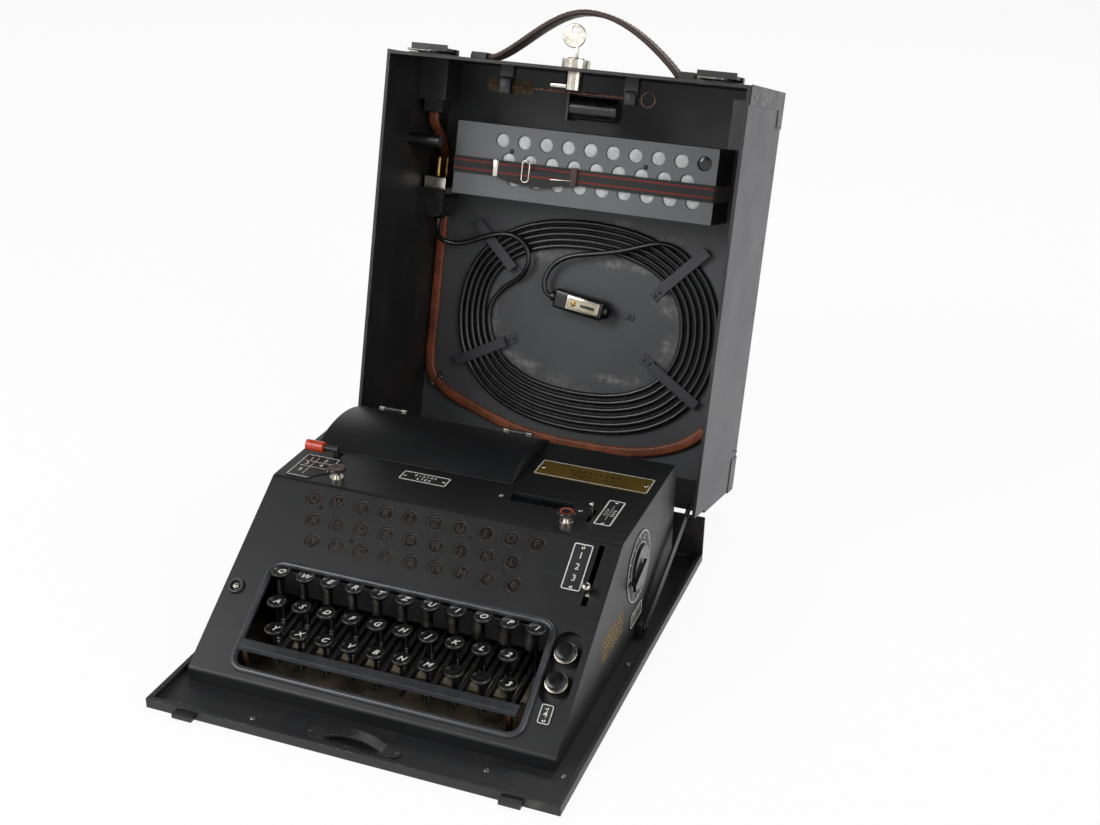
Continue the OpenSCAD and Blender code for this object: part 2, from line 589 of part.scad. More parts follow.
// ---- machine ----
module housing() color(black_paint) {
    difference() {
        union() {
            translate([hx - housing_w / 2, 0, 0]) along_x(housing_w) polygon(profile(0, foot_z));
            // rolled bezel round the keyboard
            on_slope() translate([1, well_u + well_l / 2, 0]) linear_extrude(2)
                rounded(well_w + 8, well_l + 8, 12);
        }
        difference() {
            translate([inner_x0, 0, 0]) along_x(housing_w - 2 * shell_t)
                polygon(profile(shell_t, foot_z - 1));
            on_slope() translate([terminal_x, recess_u, -recess_h - 1.5])
                linear_extrude(recess_h + 4) rounded(recess_w + 3, recess_l + 3, recess_w / 2 + 1.4);
        }
        on_slope() {
            translate([1, well_u + well_l / 2, -9]) linear_extrude(14) rounded(well_w, well_l, 9);
            for (r = [0:2], k = [0:lamp_rows[r][0] - 1])
                translate([lamp_x0 + lamp_step * r + lamp_pitch * k, lamp_rows[r][1], -4])
                    cylinder(h = 8, r = lamp_d / 2);
            translate([selector[0] - 2.2, selector_slot[0], -4])
                cube([4.4, selector_slot[1] - selector_slot[0], 8]);
            translate([terminal_x, recess_u, -recess_h]) linear_extrude(12)
                rounded(recess_w, recess_l, recess_w / 2 - 0.1);
            for (u = terminals) translate([terminal_x, u, -12]) cylinder(h = 12, r = 2.5 + running_fit);
            translate([socket[0], socket[1], -6]) cylinder(h = 12, r = 6.5);
        }
        on_deck() {
            for (p = [plunger_left, plunger_right]) translate([p[0], p[1], -4])
                cylinder(h = 8, r = plunger_r + 0.4);
            translate([counter_at[0] - counter_win[0] / 2, counter_at[1] - counter_win[1] / 2, -4])
                cube([counter_win[0], counter_win[1], 8]);
            translate([lever_at[0] - 1.8, lever_at[1] - 10.5, -4]) cube([3.6, 21, 8]);
            translate([release_x - 2.6, release_d - 7.5, -4]) cube([5.2, 12, 8]);
        }
        translate([drum_x0 + 4, rotor_cover_y + 4, deck_z - 4]) cube([bay[0], bay[1], 8]);
        rod_x(inner_x1 - 1, inner_x1 + 4, 4 + running_fit, crease_y + dial[0], deck_z - dial[1]);
        // vents, on both sides
        for (c = [0:9], r = [0:3])
            rod_x(hx - housing_w, hx + housing_w, 1.6, front_y + 101 + 5.1 * c, foot_z + 29 + 5.6 * r);
    }
}
module label(at, w, h) translate([at[0], at[1], 0]) {
    color(deep_black) plate(w, h, 0.7);
    color(steel) for (s = [-1, 1])
        translate(w > h ? [s * (w / 2 - 4), 0, 0.7] : [0, s * (h / 2 - 3.4), 0.7]) screw(1.5, 0.8);
}
module plunger_collar(at) translate([at[0], at[1], 0]) color(chrome) difference() {
    cylinder(h = 3, r = 5.6);
    translate([0, 0, -1]) cylinder(h = 5, r = plunger_r + running_fit);
}
module panel_fittings() {
    on_slope() {
        label([121.2, 146.3], 16.4, 40);
        label([132.8, 30], 10.5, 16);
        color(steel) for (p = [[-98.4, 151.4], [-61.8, 128.5], [31.1, 151.6], [66.2, 128.5]])
            translate([p[0], p[1], 0]) screw(1.6, 0.9);
        color(chrome) translate([socket[0], socket[1], -5]) difference() {
            cylinder(h = 8, r = 6.1);
            translate([0, 0, 4]) cylinder(h = 6, r = 4.6);
        }
    }
    on_deck() {
        color(deep_black) translate([-126, 23.5, 0]) linear_extrude(0.7) difference() {
            rounded(32, 40, 2);
            translate([22, -22]) circle(16);
        }
        label([-32.5, 39.3], 42.5, 15.5);
        label([125.5, 42], 15, 42.5);
        color(ochre) translate([94, 96.5, 0]) plate(98, 26, 0.8, 1);
        color(steel) for (s = [-1, 1]) translate([94 + s * 44.5, 96.5, 0.8]) screw(2, 0.9);
        color(steel) for (s = [-1, 1]) translate([counter_at[0] + s * 33.5, 38, 0]) screw(2, 0.9);
        for (p = [plunger_left, plunger_right]) plunger_collar(p);
    }
    // ears and pins of the rotor cover's two hinges, at the back
    color(steel) for (s = [-1, 1]) translate([rotor_hinge_x + 60 * s, 0, 0]) {
        for (e = [-13.2, 8.2]) {
            rod_x(e, e + 5, 1.7, rotor_hinge[0], rotor_hinge[1]);
            translate([e, rear_y, deck_z - 6]) cube([5, 1.5, 6.4]);
        }
        translate([-13.2, rear_y, deck_z - 18]) cube([26.4, 0.8, 14]);
        rod_x(-12, 12, 0.8, rotor_hinge[0], rotor_hinge[1]);
    }
    // window over the step counter, under the deck
    color(deep_black) on_deck() translate([counter_at[0] - 30, counter_at[1] - 10, -shell_t - 0.8])
        cube([60, 20, 0.8]);
    // ring scale and plate on the right side
    side_x = hx + housing_w / 2;
    color(deep_black) translate([side_x, crease_y + dial[0], deck_z - dial[1]]) rotate([0, 90, 0])
        difference() {
        cylinder(h = 0.7, r = dial_ring_r);
        translate([0, 0, -1]) cylinder(h = 3, r = dial_r + 1);
    }
    color(ochre) translate([side_x, crease_y + 43.5, foot_z + 23]) rotate([90, 0, 90]) plate(30, 13, 0.7, 1);
}
module lamp_panel() on_slope() {
    color(deep_black) translate([-120, 112, -shell_t - 2.05]) cube([216, 55.5, 2]);
    color(copper) for (r = [0:2], k = [0:lamp_rows[r][0] - 1])
        translate([lamp_x0 + lamp_step * r + lamp_pitch * k, lamp_rows[r][1], -shell_t])
            translate([0, 0, -0.2]) cylinder(h = shell_t - 0.4, r = lamp_d / 2 - 0.3);
}
cheek_x = [hx + key_x0 - 10.5, hx + key_x0 + 10 * key_pitch + 6];
board_off = -24;
stop_y = cap_y(0) + 22;
// the stop bar lies under the levers as they are at full swing
stop_a = lever_drop + key_swing;
stop_z = pivot_z - (pivot_y - stop_y) * tan(stop_a) - lever_h / 2 / cos(stop_a) - 0.2;
module chassis() {
    plate_t = 1.5;
    color(steel) translate([inner_x0 + 5, front_y + 7, foot_z])
        cube([housing_w - 14, housing_d - 12, plate_t]);
    // side cheeks that carry the key pivot, the guide block and the lamp board
    color(steel) for (x = cheek_x) translate([x, pivot_y - 50, foot_z + plate_t]) {
        cube([2.5, 64, 26]);
        cube([2.5, 10, pivot_z + 26 - foot_z - plate_t]);
    }
    color(steel) for (x = cheek_x) translate([x, pivot_y - 24, foot_z + plate_t]) difference() {
        cube([2.5, 44, 68]);
        translate([-1, slope_y(112, board_off) - pivot_y + 24, slope_z(112, board_off) - foot_z - plate_t])
            rotate([slope_a, 0, 0]) translate([0, -40, 0]) cube([5, 120, 60]);
    }
    color(steel) rod_x(cheek_x[0] + 2.5, cheek_x[1], pivot_r, pivot_y, pivot_z);
    // ribbed guide block behind the rear row's stems
    color(deep_black) {
        guide_y = cap_y(0) + 15;
        translate([cheek_x[0], guide_y, pivot_z + 10]) cube([cheek_x[1] - cheek_x[0] + 2.5, 4, 20]);
        for (n = [1:10]) translate([key_x(0, n) + key_pitch / 2, guide_y, pivot_z + 10])
            cylinder(h = 19, r = 4);
    }
    // stop bar under the levers
    color(copper) translate([cheek_x[0], stop_y, stop_z - 4])
        cube([cheek_x[1] - cheek_x[0] + 2.5, 6, 4]);
    // guard rail on two posts
    rail_y = slope_y(27, 5);
    rail_z = slope_z(27, 5) - 3;
    color(copper) for (x = [hx - 110, hx + 107]) translate([x, rail_y, foot_z + plate_t])
        cylinder(h = rail_z - foot_z - plate_t, r = 2.6);
    color(black_paint) translate([hx - 114.5, rail_y - 5, rail_z]) cube([228, 10, 4]);
    // lamp board with its bulbs
    on_slope() {
        color(copper) translate([-118, 112, board_off]) cube([236, 57, 2]);
        color(ivory) for (r = [0:2], k = [0:lamp_rows[r][0] - 1])
            translate([lamp_x0 + lamp_step * r + lamp_pitch * k, lamp_rows[r][1], board_off + 2])
                rotate_extrude() polygon([[0, 0], [4, 0], [4, 7], [5, 9], [5, 12], [3.5, 15], [0, 16]]);
    }
    // bearing cheeks of the rotor drum
    for (x = [drum_x0 - 1.5, drum_x1 - 3.5]) color(steel) difference() {
        translate([x, drum_y - 54, foot_z + plate_t]) cube([2.5, 88, drum_z + 10 - foot_z - plate_t]);
        rod_x(x - 1, x + 4, drum_shaft_r + running_fit, drum_y, drum_z);
    }
    color(steel) rod_x(drum_x0 + 1, hx + release_x + 3, 2, crease_y + release_d, deck_z - 17);
    // transformer
    color(deep_black) translate([hx + 72, rear_y - 70, foot_z + plate_t]) cube([52, 42, 46]);
    color(copper) translate([hx + 66, rear_y - 62, foot_z + plate_t + 8]) cube([64, 26, 30]);
    // bracket of the step counter and of its lever
    color(steel) {
        c = [hx + counter_at[0], crease_y + counter_at[1]];
        translate([c[0] - 3, c[1] - 3, foot_z + plate_t]) cube([6, 6, deck_z - 25 - foot_z - plate_t]);
        translate([c[0] - 32, c[1] - 8, deck_z - 25]) cube([64, 16, 2]);
        for (x = [c[0] - 32, c[0] + 29.5]) difference() {
            translate([x, c[1] - 8, deck_z - 25]) cube([2.5, 16, 18]);
            rod_x(x - 1, x + 4, 1.5 + running_fit, c[1], deck_z - 12);
        }
        rod_x(c[0] + 32, hx + lever_at[0] + 3, 1.5, crease_y + lever_at[1], deck_z - 10);
    }
}
module counter_wheels() translate([hx + counter_at[0], crease_y + counter_at[1], deck_z - 12]) {
    color(steel) rod_x(-33, 33, 1.5, 0, 0);
    color(deep_black) for (k = [-1.5:1:1.5]) rod_x(k * 9 - 4, k * 9 + 4, 9, 0, 0);
}
module counter_lever() color(steel) on_deck() translate([lever_at[0] - 1.1, lever_at[1], -10])
    along_x(2.2) difference() {
        union() {
            circle(3.2);
            translate([-1.3, 0]) square([2.6, 20]);
            translate([0, 20]) circle(2);
        }
        circle(1.5 + running_fit);
    }
module rotor_drum() {
    color(steel) rod_x(drum_x0 - 1.5, drum_x1 - 1, drum_shaft_r, drum_y, drum_z);
    pitch = (rotor_cover_w - 16) / 10;
    for (k = [0:9]) color(k % 2 == 0 ? brass : deep_black)
        difference() {
            rod_x(drum_x0 + 5 + pitch * k, drum_x0 + 5 + pitch * k + rotor_t, rotor_r, drum_y, drum_z);
            rod_x(drum_x0, drum_x1, drum_shaft_r, drum_y, drum_z);
        }
}
rotor_hinge = [rear_y + 2.2, deck_z + 1.3];
rotor_hinge_x = drum_x0 + rotor_cover_w / 2;
// arched cover over the rotors: its profile is an arc over its depth
arch_r = (rotor_cover_d * rotor_cover_d / 4 + rotor_cover_rise * rotor_cover_rise) / (2 * rotor_cover_rise);
module rotor_arch(t) intersection() {
    translate([rotor_cover_y + rotor_cover_d / 2, deck_z + rotor_cover_rise - arch_r])
        circle(arch_r - t, $fn = 96);
    translate([rotor_cover_y + t, deck_z + 0.3]) square([rotor_cover_d - 2 * t, rotor_cover_rise + 5]);
}
module rotor_cover() color(black_paint) {
    difference() {
        translate([drum_x0, 0, 0]) along_x(rotor_cover_w) rotor_arch(0);
        translate([drum_x0 + 1.2, 0, -0.4]) along_x(rotor_cover_w - 2.4) rotor_arch(1.2);
    }
    for (s = [-1, 1]) translate([rotor_hinge_x + 60 * s, 0, 0]) difference() {
        union() {
            rod_x(-8, 8, 1.7, rotor_hinge[0], rotor_hinge[1]);
            translate([-8, rear_y - 3, rotor_hinge[1] - 0.7]) cube([16, 5, 0.8]);
        }
        rod_x(-9, 9, 0.8 + running_fit, rotor_hinge[0], rotor_hinge[1]);
    }
}
module release_lever() on_deck() translate([release_x, release_d, -17]) {
    color(signal_red) rotate([12, 0, 0]) difference() {
        translate([-2, 0, 0]) along_x(4) union() {
            circle(4.5);
            translate([-2.6, 0]) square([5.2, 25]);
            translate([0, 25]) circle(2.6);
        }
        rod_x(-3, 3, 2 + running_fit, 0, 0);
    }
    color(signal_red) rotate([12, 0, 0]) {
        rod_x(-11, -2, 2.3, 0, 25);
        rod_x(-27, -11, 4.7, 0, 25);
    }
}
module plunger(at, c) on_deck() translate([at[0], at[1], 0]) {
    color(chrome) translate([0, 0, -12]) cylinder(h = 20, r = plunger_r);
    color(c) translate([0, 0, 8]) rotate_extrude()
        polygon([[0, 0], [6.4, 0], [7.7, 1], [7.7, 2.4], [7.1, 3], [0, 3]]);
}
module left_plunger() plunger(plunger_left, copper);
module right_plunger() plunger(plunger_right, signal_red);
module power_selector() on_slope() translate([selector[0], selector[1], 0]) {
    color(steel) translate([-5, -3.5, -shell_t - 1.9]) cube([10, 7, 1.6]);
    color(chrome) {
        translate([0, 0, -shell_t - 1]) cylinder(h = 7, r = 1.8);
        translate([0, 0, 4]) rotate_extrude()
            polygon([[0, 0], [3, 0], [3.6, 1.4], [3.6, 5], [2.6, 7], [0, 7.4]]);
    }
}
module terminal(u) on_slope() translate([terminal_x, u, 0]) {
    color(steel) translate([0, 0, -recess_h - 8]) cylinder(h = 10, r = 2.5);
    color(chrome) translate([0, 0, -recess_h + 0.3]) cylinder(h = 7, r = 9.3);
    color(deep_black) translate([0, 0, 0.3]) rotate_extrude()
        polygon([[0, 0], [8.4, 0], [8.8, 1], [8.8, 6], [8, 7], [0, 7]]);
}
module upper_terminal() terminal(terminals[0]);
module lower_terminal() terminal(terminals[1]);
module voltage_dial() translate([hx + housing_w / 2, crease_y + dial[0], deck_z - dial[1]]) {
    color(deep_black) {
        rod_x(-5, 1, 4, 0, 0);
        rod_x(0.9, 3.4, dial_r, 0, 0);
        rotate([18, 0, 0]) translate([3, -24, -3.5]) cube([3, 30, 7]);
    }
}

// one key: dished cap on a slim stem, on a lever that turns on the pivot shaft
module key(row, n) {
    run_y = pivot_y - cap_y(row);
    tip_z = pivot_z - run_y * tan(lever_drop);
    top_z = cap_z(row);
    translate([key_x(row, n), 0, 0]) color(deep_black) {
        difference() {
            union() {
                translate([-lever_t / 2, pivot_y, pivot_z]) rotate([lever_drop, 0, 0]) along_x(lever_t)
                    union() {
                    circle(7);
                    translate([-run_y / cos(lever_drop) - 3, -lever_h / 2])
                        square([run_y / cos(lever_drop) + 3, lever_h]);
                }
                translate([-2, cap_y(row) - 2.4, tip_z - 3]) cube([4, 4.8, 9]);
            }
            rod_x(-3, 3, pivot_r + running_fit, pivot_y, pivot_z);
        }
        translate([0, cap_y(row), tip_z + 2]) cylinder(h = top_z - tip_z - 6, r = 1.7);
        translate([0, cap_y(row), top_z - 7.5]) rotate_extrude()
            polygon([[0, 0], [2.6, 0], [cap_d / 2 - 1.6, 4], [cap_d / 2, 5.4], [cap_d / 2, 6.6],
                     [cap_d / 2 - 0.8, 7.5], [cap_d / 2 - 1.6, 7.5], [cap_d / 2 - 2.6, 6.9], [0, 6.6]]);
    }
}

base_tray();
tray_fittings();
lid_stay();
cover_shell();
cover_fittings();
carry_handle();
left_latch();
right_latch();
case_lock();
remote_lamp_box();
stowage_straps();
cable_ends();
mains_cable();
cleaning_brush();
housing();
panel_fittings();
lamp_panel();
chassis();
rotor_drum();
rotor_cover();
release_lever();
left_plunger();
right_plunger();
counter_wheels();
counter_lever();
power_selector();
upper_terminal();
lower_terminal();
voltage_dial();
for (n = [1:11]) key(0, n);
for (n = [1:10]) key(1, n);
for (n = [1:10]) key(2, n);
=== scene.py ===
import bpy
import math
import random
from mathutils import Matrix, Vector


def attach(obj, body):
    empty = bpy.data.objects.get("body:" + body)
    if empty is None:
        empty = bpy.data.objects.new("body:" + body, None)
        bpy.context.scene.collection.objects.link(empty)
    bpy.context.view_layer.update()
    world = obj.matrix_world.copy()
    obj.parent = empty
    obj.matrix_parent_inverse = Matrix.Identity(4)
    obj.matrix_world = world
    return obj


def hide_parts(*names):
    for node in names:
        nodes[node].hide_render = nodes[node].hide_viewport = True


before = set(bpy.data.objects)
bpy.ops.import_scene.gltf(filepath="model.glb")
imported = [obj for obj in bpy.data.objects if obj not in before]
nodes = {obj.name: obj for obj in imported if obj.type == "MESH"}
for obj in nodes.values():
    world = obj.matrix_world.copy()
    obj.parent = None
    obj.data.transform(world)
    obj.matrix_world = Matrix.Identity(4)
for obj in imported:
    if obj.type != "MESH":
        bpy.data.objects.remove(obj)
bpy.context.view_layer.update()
random.seed(11)
print("frame loaded:", len(nodes), "CAD nodes")

# ---- places: millimetres in three working frames, each turned to metres in the row frame ----
case = {"hingeY": 186.5, "hingeZ": 44, "skirt": 36, "openAngle": 104.3, "frontWall": 370.5, "outside": 165}
machine = {"middleX": -3, "halfWidth": 150, "frontY": -145, "lipZ": 14, "slopeAngle": 35.16953,
           "creaseY": -4.5, "deckZ": 113}
millimetre = Matrix.Scale(0.001, 4)
rowPlace = millimetre
coverPlace = (millimetre @ Matrix.Translation((0, case["hingeY"], case["hingeZ"]))
              @ Matrix.Rotation(math.radians(-case["openAngle"]), 4, "X")
              @ Matrix.Translation((0, 0, -case["skirt"])))
slopePlace = (millimetre @ Matrix.Translation((machine["middleX"], machine["frontY"], machine["lipZ"]))
              @ Matrix.Rotation(math.radians(machine["slopeAngle"]), 4, "X"))
deckPlace = millimetre @ Matrix.Translation((machine["middleX"], machine["creaseY"], machine["deckZ"]))


def inCover(p):  # x, distance from the hinge, height above the rim
    q = coverPlace.inverted() @ p
    return q.x, -q.y, q.z


def onSlope(p):
    return tuple(slopePlace.inverted() @ p)


def onDeck(p):
    return tuple(deckPlace.inverted() @ p)


# ---- materials ----
def linearRgb(hexText):
    parts = [int(hexText[i:i + 2], 16) / 255 for i in (0, 2, 4)]
    return [c / 12.92 if c <= 0.04045 else ((c + 0.055) / 1.055) ** 2.4 for c in parts] + [1.0]


def addNode(tree, kind, values=None, links=None, out=0, **settings):
    # adds a shader node and gives back the output named by out
    node = tree.nodes.new("ShaderNode" + kind)
    for key, value in settings.items():
        setattr(node, key, value)
    for key, value in (values or {}).items():
        node.inputs[key].default_value = value
    for key, socket in (links or {}).items():
        tree.links.new(socket, node.inputs[key])
    return node.outputs[out] if node.outputs else node


def startMaterial(name, finish):
    # the shader's own sockets hold what is the same all over
    mat = bpy.data.materials.new(name)
    mat.use_nodes = True
    tree = mat.node_tree
    tree.nodes.clear()
    surface = addNode(tree, "BsdfPrincipled", finish)
    addNode(tree, "OutputMaterial", links={"Surface": surface})
    return mat, tree, surface.node, addNode(tree, "TexCoord", out="Object")


def rounded(tree, radius):
    # normal that turns softly over an edge, and how much of an edge a point lies on
    soft = addNode(tree, "Bevel", {"Radius": radius}, samples=6)
    flat = addNode(tree, "NewGeometry", out="Normal")
    same = addNode(tree, "VectorMath", {}, {0: soft, 1: flat}, "Value", operation="DOT_PRODUCT")
    return soft, addNode(tree, "MapRange", {1: 0.8, 2: 0.985, 3: 1.0, 4: 0.0}, {0: same})


def clouded(tree, where, look, detail, low=0.35, high=0.7):
    # a soft cloud, and the look's dark and light colours mixed by it
    cloud = addNode(tree, "TexNoise", {"Scale": 1000 / look["cloud"], "Detail": detail[0],
                                       "Roughness": detail[1]}, {"Vector": where})
    shade = addNode(tree, "MapRange", {1: low, 2: high}, {0: cloud})
    return cloud, addNode(tree, "Mix", {6: linearRgb(look["dark"]), 7: linearRgb(look["light"])},
                          {0: shade}, 2, data_type="RGBA")


def surfaced(tree, shader, look, colour, cloud, relief, depth, soft, low=0.3, high=0.75):
    # colour, gloss that changes with the cloud, and relief of a depth in metres
    gloss = addNode(tree, "MapRange", {1: low, 2: high, 3: look["gloss"][0], 4: look["gloss"][1]},
                    {0: cloud})
    bump = addNode(tree, "Bump", {"Strength": look["bump"], "Distance": depth},
                   {"Height": relief, "Normal": soft})
    for key, socket in (("Base Color", colour), ("Roughness", gloss), ("Normal", bump)):
        tree.links.new(socket, shader.inputs[key])


def inCoverFrame(tree, where):
    # the point seen from the cover: x across, y towards the hinge, z away from the rim
    hinge = (0, -case["hingeY"] / 1000, -case["hingeZ"] / 1000)
    moved = addNode(tree, "VectorMath", {1: hinge}, {0: where}, operation="ADD")
    return addNode(tree, "Mapping", {"Rotation": (math.radians(case["openAngle"]), 0, 0)},
                   {"Vector": moved})


def stovedEnamel(name, look):
    # black stoving enamel on steel: satin, a fine orange peel, edges rubbed to grey, thin scratches
    mat, tree, shader, where = startMaterial(name, {"IOR": 1.5, "Metallic": 0.0})
    soft, edge = rounded(tree, look["edge"] / 1000)
    cloud, colour = clouded(tree, where, look, (6, 0.6), 0.3, 0.75)
    peel = addNode(tree, "TexNoise", {"Scale": 1000 / look["peel"], "Detail": 3, "Roughness": 0.55},
                   {"Vector": where})
    along = addNode(tree, "Mapping", {"Rotation": (0.5, 0.3, 0.9), "Scale": (14, 900, 14)},
                    {"Vector": where})
    hair = addNode(tree, "TexNoise", {"Scale": 1.0, "Detail": 2, "Roughness": 0.5}, {"Vector": along})
    hairLine = addNode(tree, "MapRange", {1: 0.73, 2: 0.78, 3: 0.0, 4: look["scratch"]}, {0: hair})
    rub = addNode(tree, "TexNoise", {"Scale": 1000 / 9, "Detail": 8, "Roughness": 0.75}, {"Vector": where})
    rubbed = addNode(tree, "MapRange", {1: look["wearFrom"], 2: look["wearFrom"] + 0.07}, {0: rub})
    bare = addNode(tree, "Math", {}, {0: edge, 1: rubbed}, operation="MULTIPLY")
    marks = addNode(tree, "Math", {}, {0: bare, 1: hairLine}, operation="MAXIMUM")
    speck = addNode(tree, "TexVoronoi", {"Scale": 1000 / 7}, {"Vector": where}, "Distance")
    dusty = addNode(tree, "MapRange", {1: 0.03, 2: 0.05, 3: look["specks"], 4: 0.0}, {0: speck})
    colour = addNode(tree, "Mix", {7: linearRgb("8d8a82")}, {0: dusty, 6: colour}, 2, data_type="RGBA")
    if "stain" in look:
        stainCloud = addNode(tree, "TexNoise", {"Scale": 1000 / 38, "Detail": 7, "Roughness": 0.7},
                             {"Vector": where})
        stainy = addNode(tree, "MapRange", {1: 0.5, 2: 0.75, 3: 0.0, 4: look["stain"][1]}, {0: stainCloud})
        colour = addNode(tree, "Mix", {7: linearRgb(look["stain"][0])}, {0: stainy, 6: colour}, 2,
                         data_type="RGBA")
    if "ring" in look:
        colour = rubbedPanel(tree, where, colour, look["ring"], look["spots"])
    colour = addNode(tree, "Mix", {7: linearRgb(look["worn"])}, {0: marks, 6: colour}, 2, data_type="RGBA")
    surfaced(tree, shader, look, colour, cloud, peel, 0.0003, soft, 0.25, 0.8)
    return mat


def rubbedPanel(tree, where, under, ring, spots):
    # pale rub marks on the back panel: a broken ring inside the wound cable, and soft patches where it lay
    turn = inCoverFrame(tree, where)

    def farFrom(at, scale):
        flat = addNode(tree, "Mapping", {"Location": at, "Scale": scale}, {"Vector": turn})
        return addNode(tree, "VectorMath", {}, {0: flat}, "Value", operation="LENGTH")

    far = farFrom(ring["at"], ring["scale"])
    inner = addNode(tree, "MapRange", {1: 0.8, 2: 0.97}, {0: far})
    outer = addNode(tree, "MapRange", {1: 1.0, 2: 1.06, 3: 1.0, 4: 0.0}, {0: far})
    band = addNode(tree, "Math", {}, {0: inner, 1: outer}, operation="MULTIPLY")
    patch = addNode(tree, "TexNoise", {"Scale": 1000 / 34, "Detail": 7, "Roughness": 0.62},
                    {"Vector": where})
    some = addNode(tree, "MapRange", {1: 0.48, 2: 0.6, 3: 0.0, 4: ring["strength"]}, {0: patch})
    here = addNode(tree, "Math", {}, {0: band, 1: some}, operation="MULTIPLY")
    for x, v, halfX, halfV in spots:
        away = farFrom((-x / halfX, v / halfV, 0), (1000 / halfX, 1000 / halfV, 0))
        mark = addNode(tree, "MapRange", {1: 0.3, 2: 1.5, 3: 0.5, 4: 0.0}, {0: away})
        here = addNode(tree, "Math", {}, {0: here, 1: mark}, operation="MAXIMUM")
    smear = addNode(tree, "TexNoise", {"Scale": 1000 / 5, "Detail": 6, "Roughness": 0.7}, {"Vector": where})
    broken = addNode(tree, "MapRange", {1: 0.38, 2: 0.62}, {0: smear})
    here = addNode(tree, "Math", {}, {0: here, 1: broken}, operation="MULTIPLY")
    return addNode(tree, "Mix", {7: linearRgb("a9a7a3")}, {0: here, 6: under}, 2, data_type="RGBA")


def workedMetal(name, look):
    # metal with fine tool marks, cloudy tarnish and edges a little brighter
    mat, tree, shader, where = startMaterial(name, {"Metallic": 1.0})
    soft, edge = rounded(tree, 0.0005)
    cloud, body = clouded(tree, where, look, (7, 0.65))
    bright = addNode(tree, "Mix", {7: linearRgb(look["edgeColour"])}, {0: edge, 6: body}, 2,
                     data_type="RGBA")
    grain = addNode(tree, "TexNoise", {"Scale": 1000 / look["grain"], "Detail": 3, "Roughness": 0.6},
                    {"Vector": where})
    surfaced(tree, shader, look, bright, cloud, grain, 0.0002, soft)
    return mat


def mouldedPlastic(name, look):
    # phenolic or rubber moulding: even colour, faint flow marks, soft edges with a little dust
    mat, tree, shader, where = startMaterial(name, {"IOR": 1.55})
    soft, edge = rounded(tree, 0.0005)
    cloud, body = clouded(tree, where, look, (6, 0.6))
    worn = addNode(tree, "Math", {1: look["edgeDust"]}, {0: edge}, operation="MULTIPLY")
    full = addNode(tree, "Mix", {7: linearRgb(look.get("dust", "6b6863"))}, {0: worn, 6: body}, 2,
                   data_type="RGBA")
    grain = addNode(tree, "TexNoise", {"Scale": 1000 / look["grain"], "Detail": 3}, {"Vector": where})
    surfaced(tree, shader, look, full, cloud, grain, 0.0002, soft)
    return mat


def tannedLeather(name, look):
    # vegetable-tanned cowhide: pebbled grain, darker creases, edges rubbed to an edge colour, darker on the
    # brown hide
    mat, tree, shader, where = startMaterial(name, {"IOR": 1.45})
    soft, edge = rounded(tree, 0.0007)
    cloud, hide = clouded(tree, where, look, (8, 0.7), 0.35, 0.68)
    rim = addNode(tree, "Mix", {7: linearRgb(look["edgeColour"])}, {0: edge, 6: hide}, 2, data_type="RGBA")
    pebble = addNode(tree, "TexVoronoi", {"Scale": 1000 / 0.9}, {"Vector": where},
                     feature="DISTANCE_TO_EDGE")
    crease = addNode(tree, "MapRange", {1: 0.0, 2: 0.12, 3: 0.55, 4: 0.0}, {0: pebble})
    full = addNode(tree, "Mix", {7: linearRgb(look["dark"])}, {0: crease, 6: rim}, 2, data_type="RGBA")
    surfaced(tree, shader, look, full, cloud, pebble, 0.0002, soft, 0.3, 0.7)
    return mat


def wovenWebbing(name, look):
    # cotton webbing with two coloured stripes: threads 1.2 mm apart, where real ones are 0.6, to show
    mat, tree, shader, where = startMaterial(name, {"IOR": 1.45, "Roughness": 0.85, "Sheen Weight": 0.25,
                                                    "Sheen Roughness": 0.6})
    turn = inCoverFrame(tree, where)
    side = addNode(tree, "SeparateXYZ", {}, {0: turn}, "Y")
    across = addNode(tree, "MapRange", {1: -look["from"] / 1000, 2: -look["to"] / 1000}, {0: side})
    striped = addNode(tree, "ValToRGB", {}, {0: across})
    ramp = striped.node.color_ramp
    ramp.interpolation = "CONSTANT"
    for n, (at, colour) in enumerate(look["stripes"]):
        stop = ramp.elements[n] if n < 2 else ramp.elements.new(at)
        stop.position = at
        stop.color = linearRgb(colour)
    warp, weft = [addNode(tree, "TexWave", {"Scale": 314 / 1.2, "Distortion": 0.4}, {"Vector": turn}, "Fac",
                          bands_direction=way)
                  for way in "XY"]
    weave = addNode(tree, "Math", {}, {0: warp, 1: weft}, operation="MULTIPLY")
    # the gaps between the threads are mixed towards near-black as painted shade
    threadGapShade = addNode(tree, "MapRange", {1: 0.0, 2: 0.6, 3: 0.45, 4: 0.0}, {0: weave})
    stripesWithGapShade = addNode(tree, "Mix", {7: linearRgb("171515")}, {0: threadGapShade, 6: striped}, 2, data_type="RGBA")
    tree.links.new(stripesWithGapShade, shader.inputs["Base Color"])
    bump = addNode(tree, "Bump", {"Strength": 0.6, "Distance": 0.0003}, {"Height": weave})
    tree.links.new(bump, shader.inputs["Normal"])
    return mat


def twistedFibre(name, look):
    # twisted linen thread: matt, cloudy, with a fine nap
    mat, tree, shader, where = startMaterial(name, {"IOR": 1.4, "Roughness": 0.95, "Sheen Weight": 0.3})
    tree.links.new(clouded(tree, where, look, (8, 0.7))[1], shader.inputs["Base Color"])
    nap = addNode(tree, "TexNoise", {"Scale": 1000 / 0.7, "Detail": 4}, {"Vector": where})
    bump = addNode(tree, "Bump", {"Strength": 0.7, "Distance": 0.0003}, {"Height": nap})
    tree.links.new(bump, shader.inputs["Normal"])
    return mat


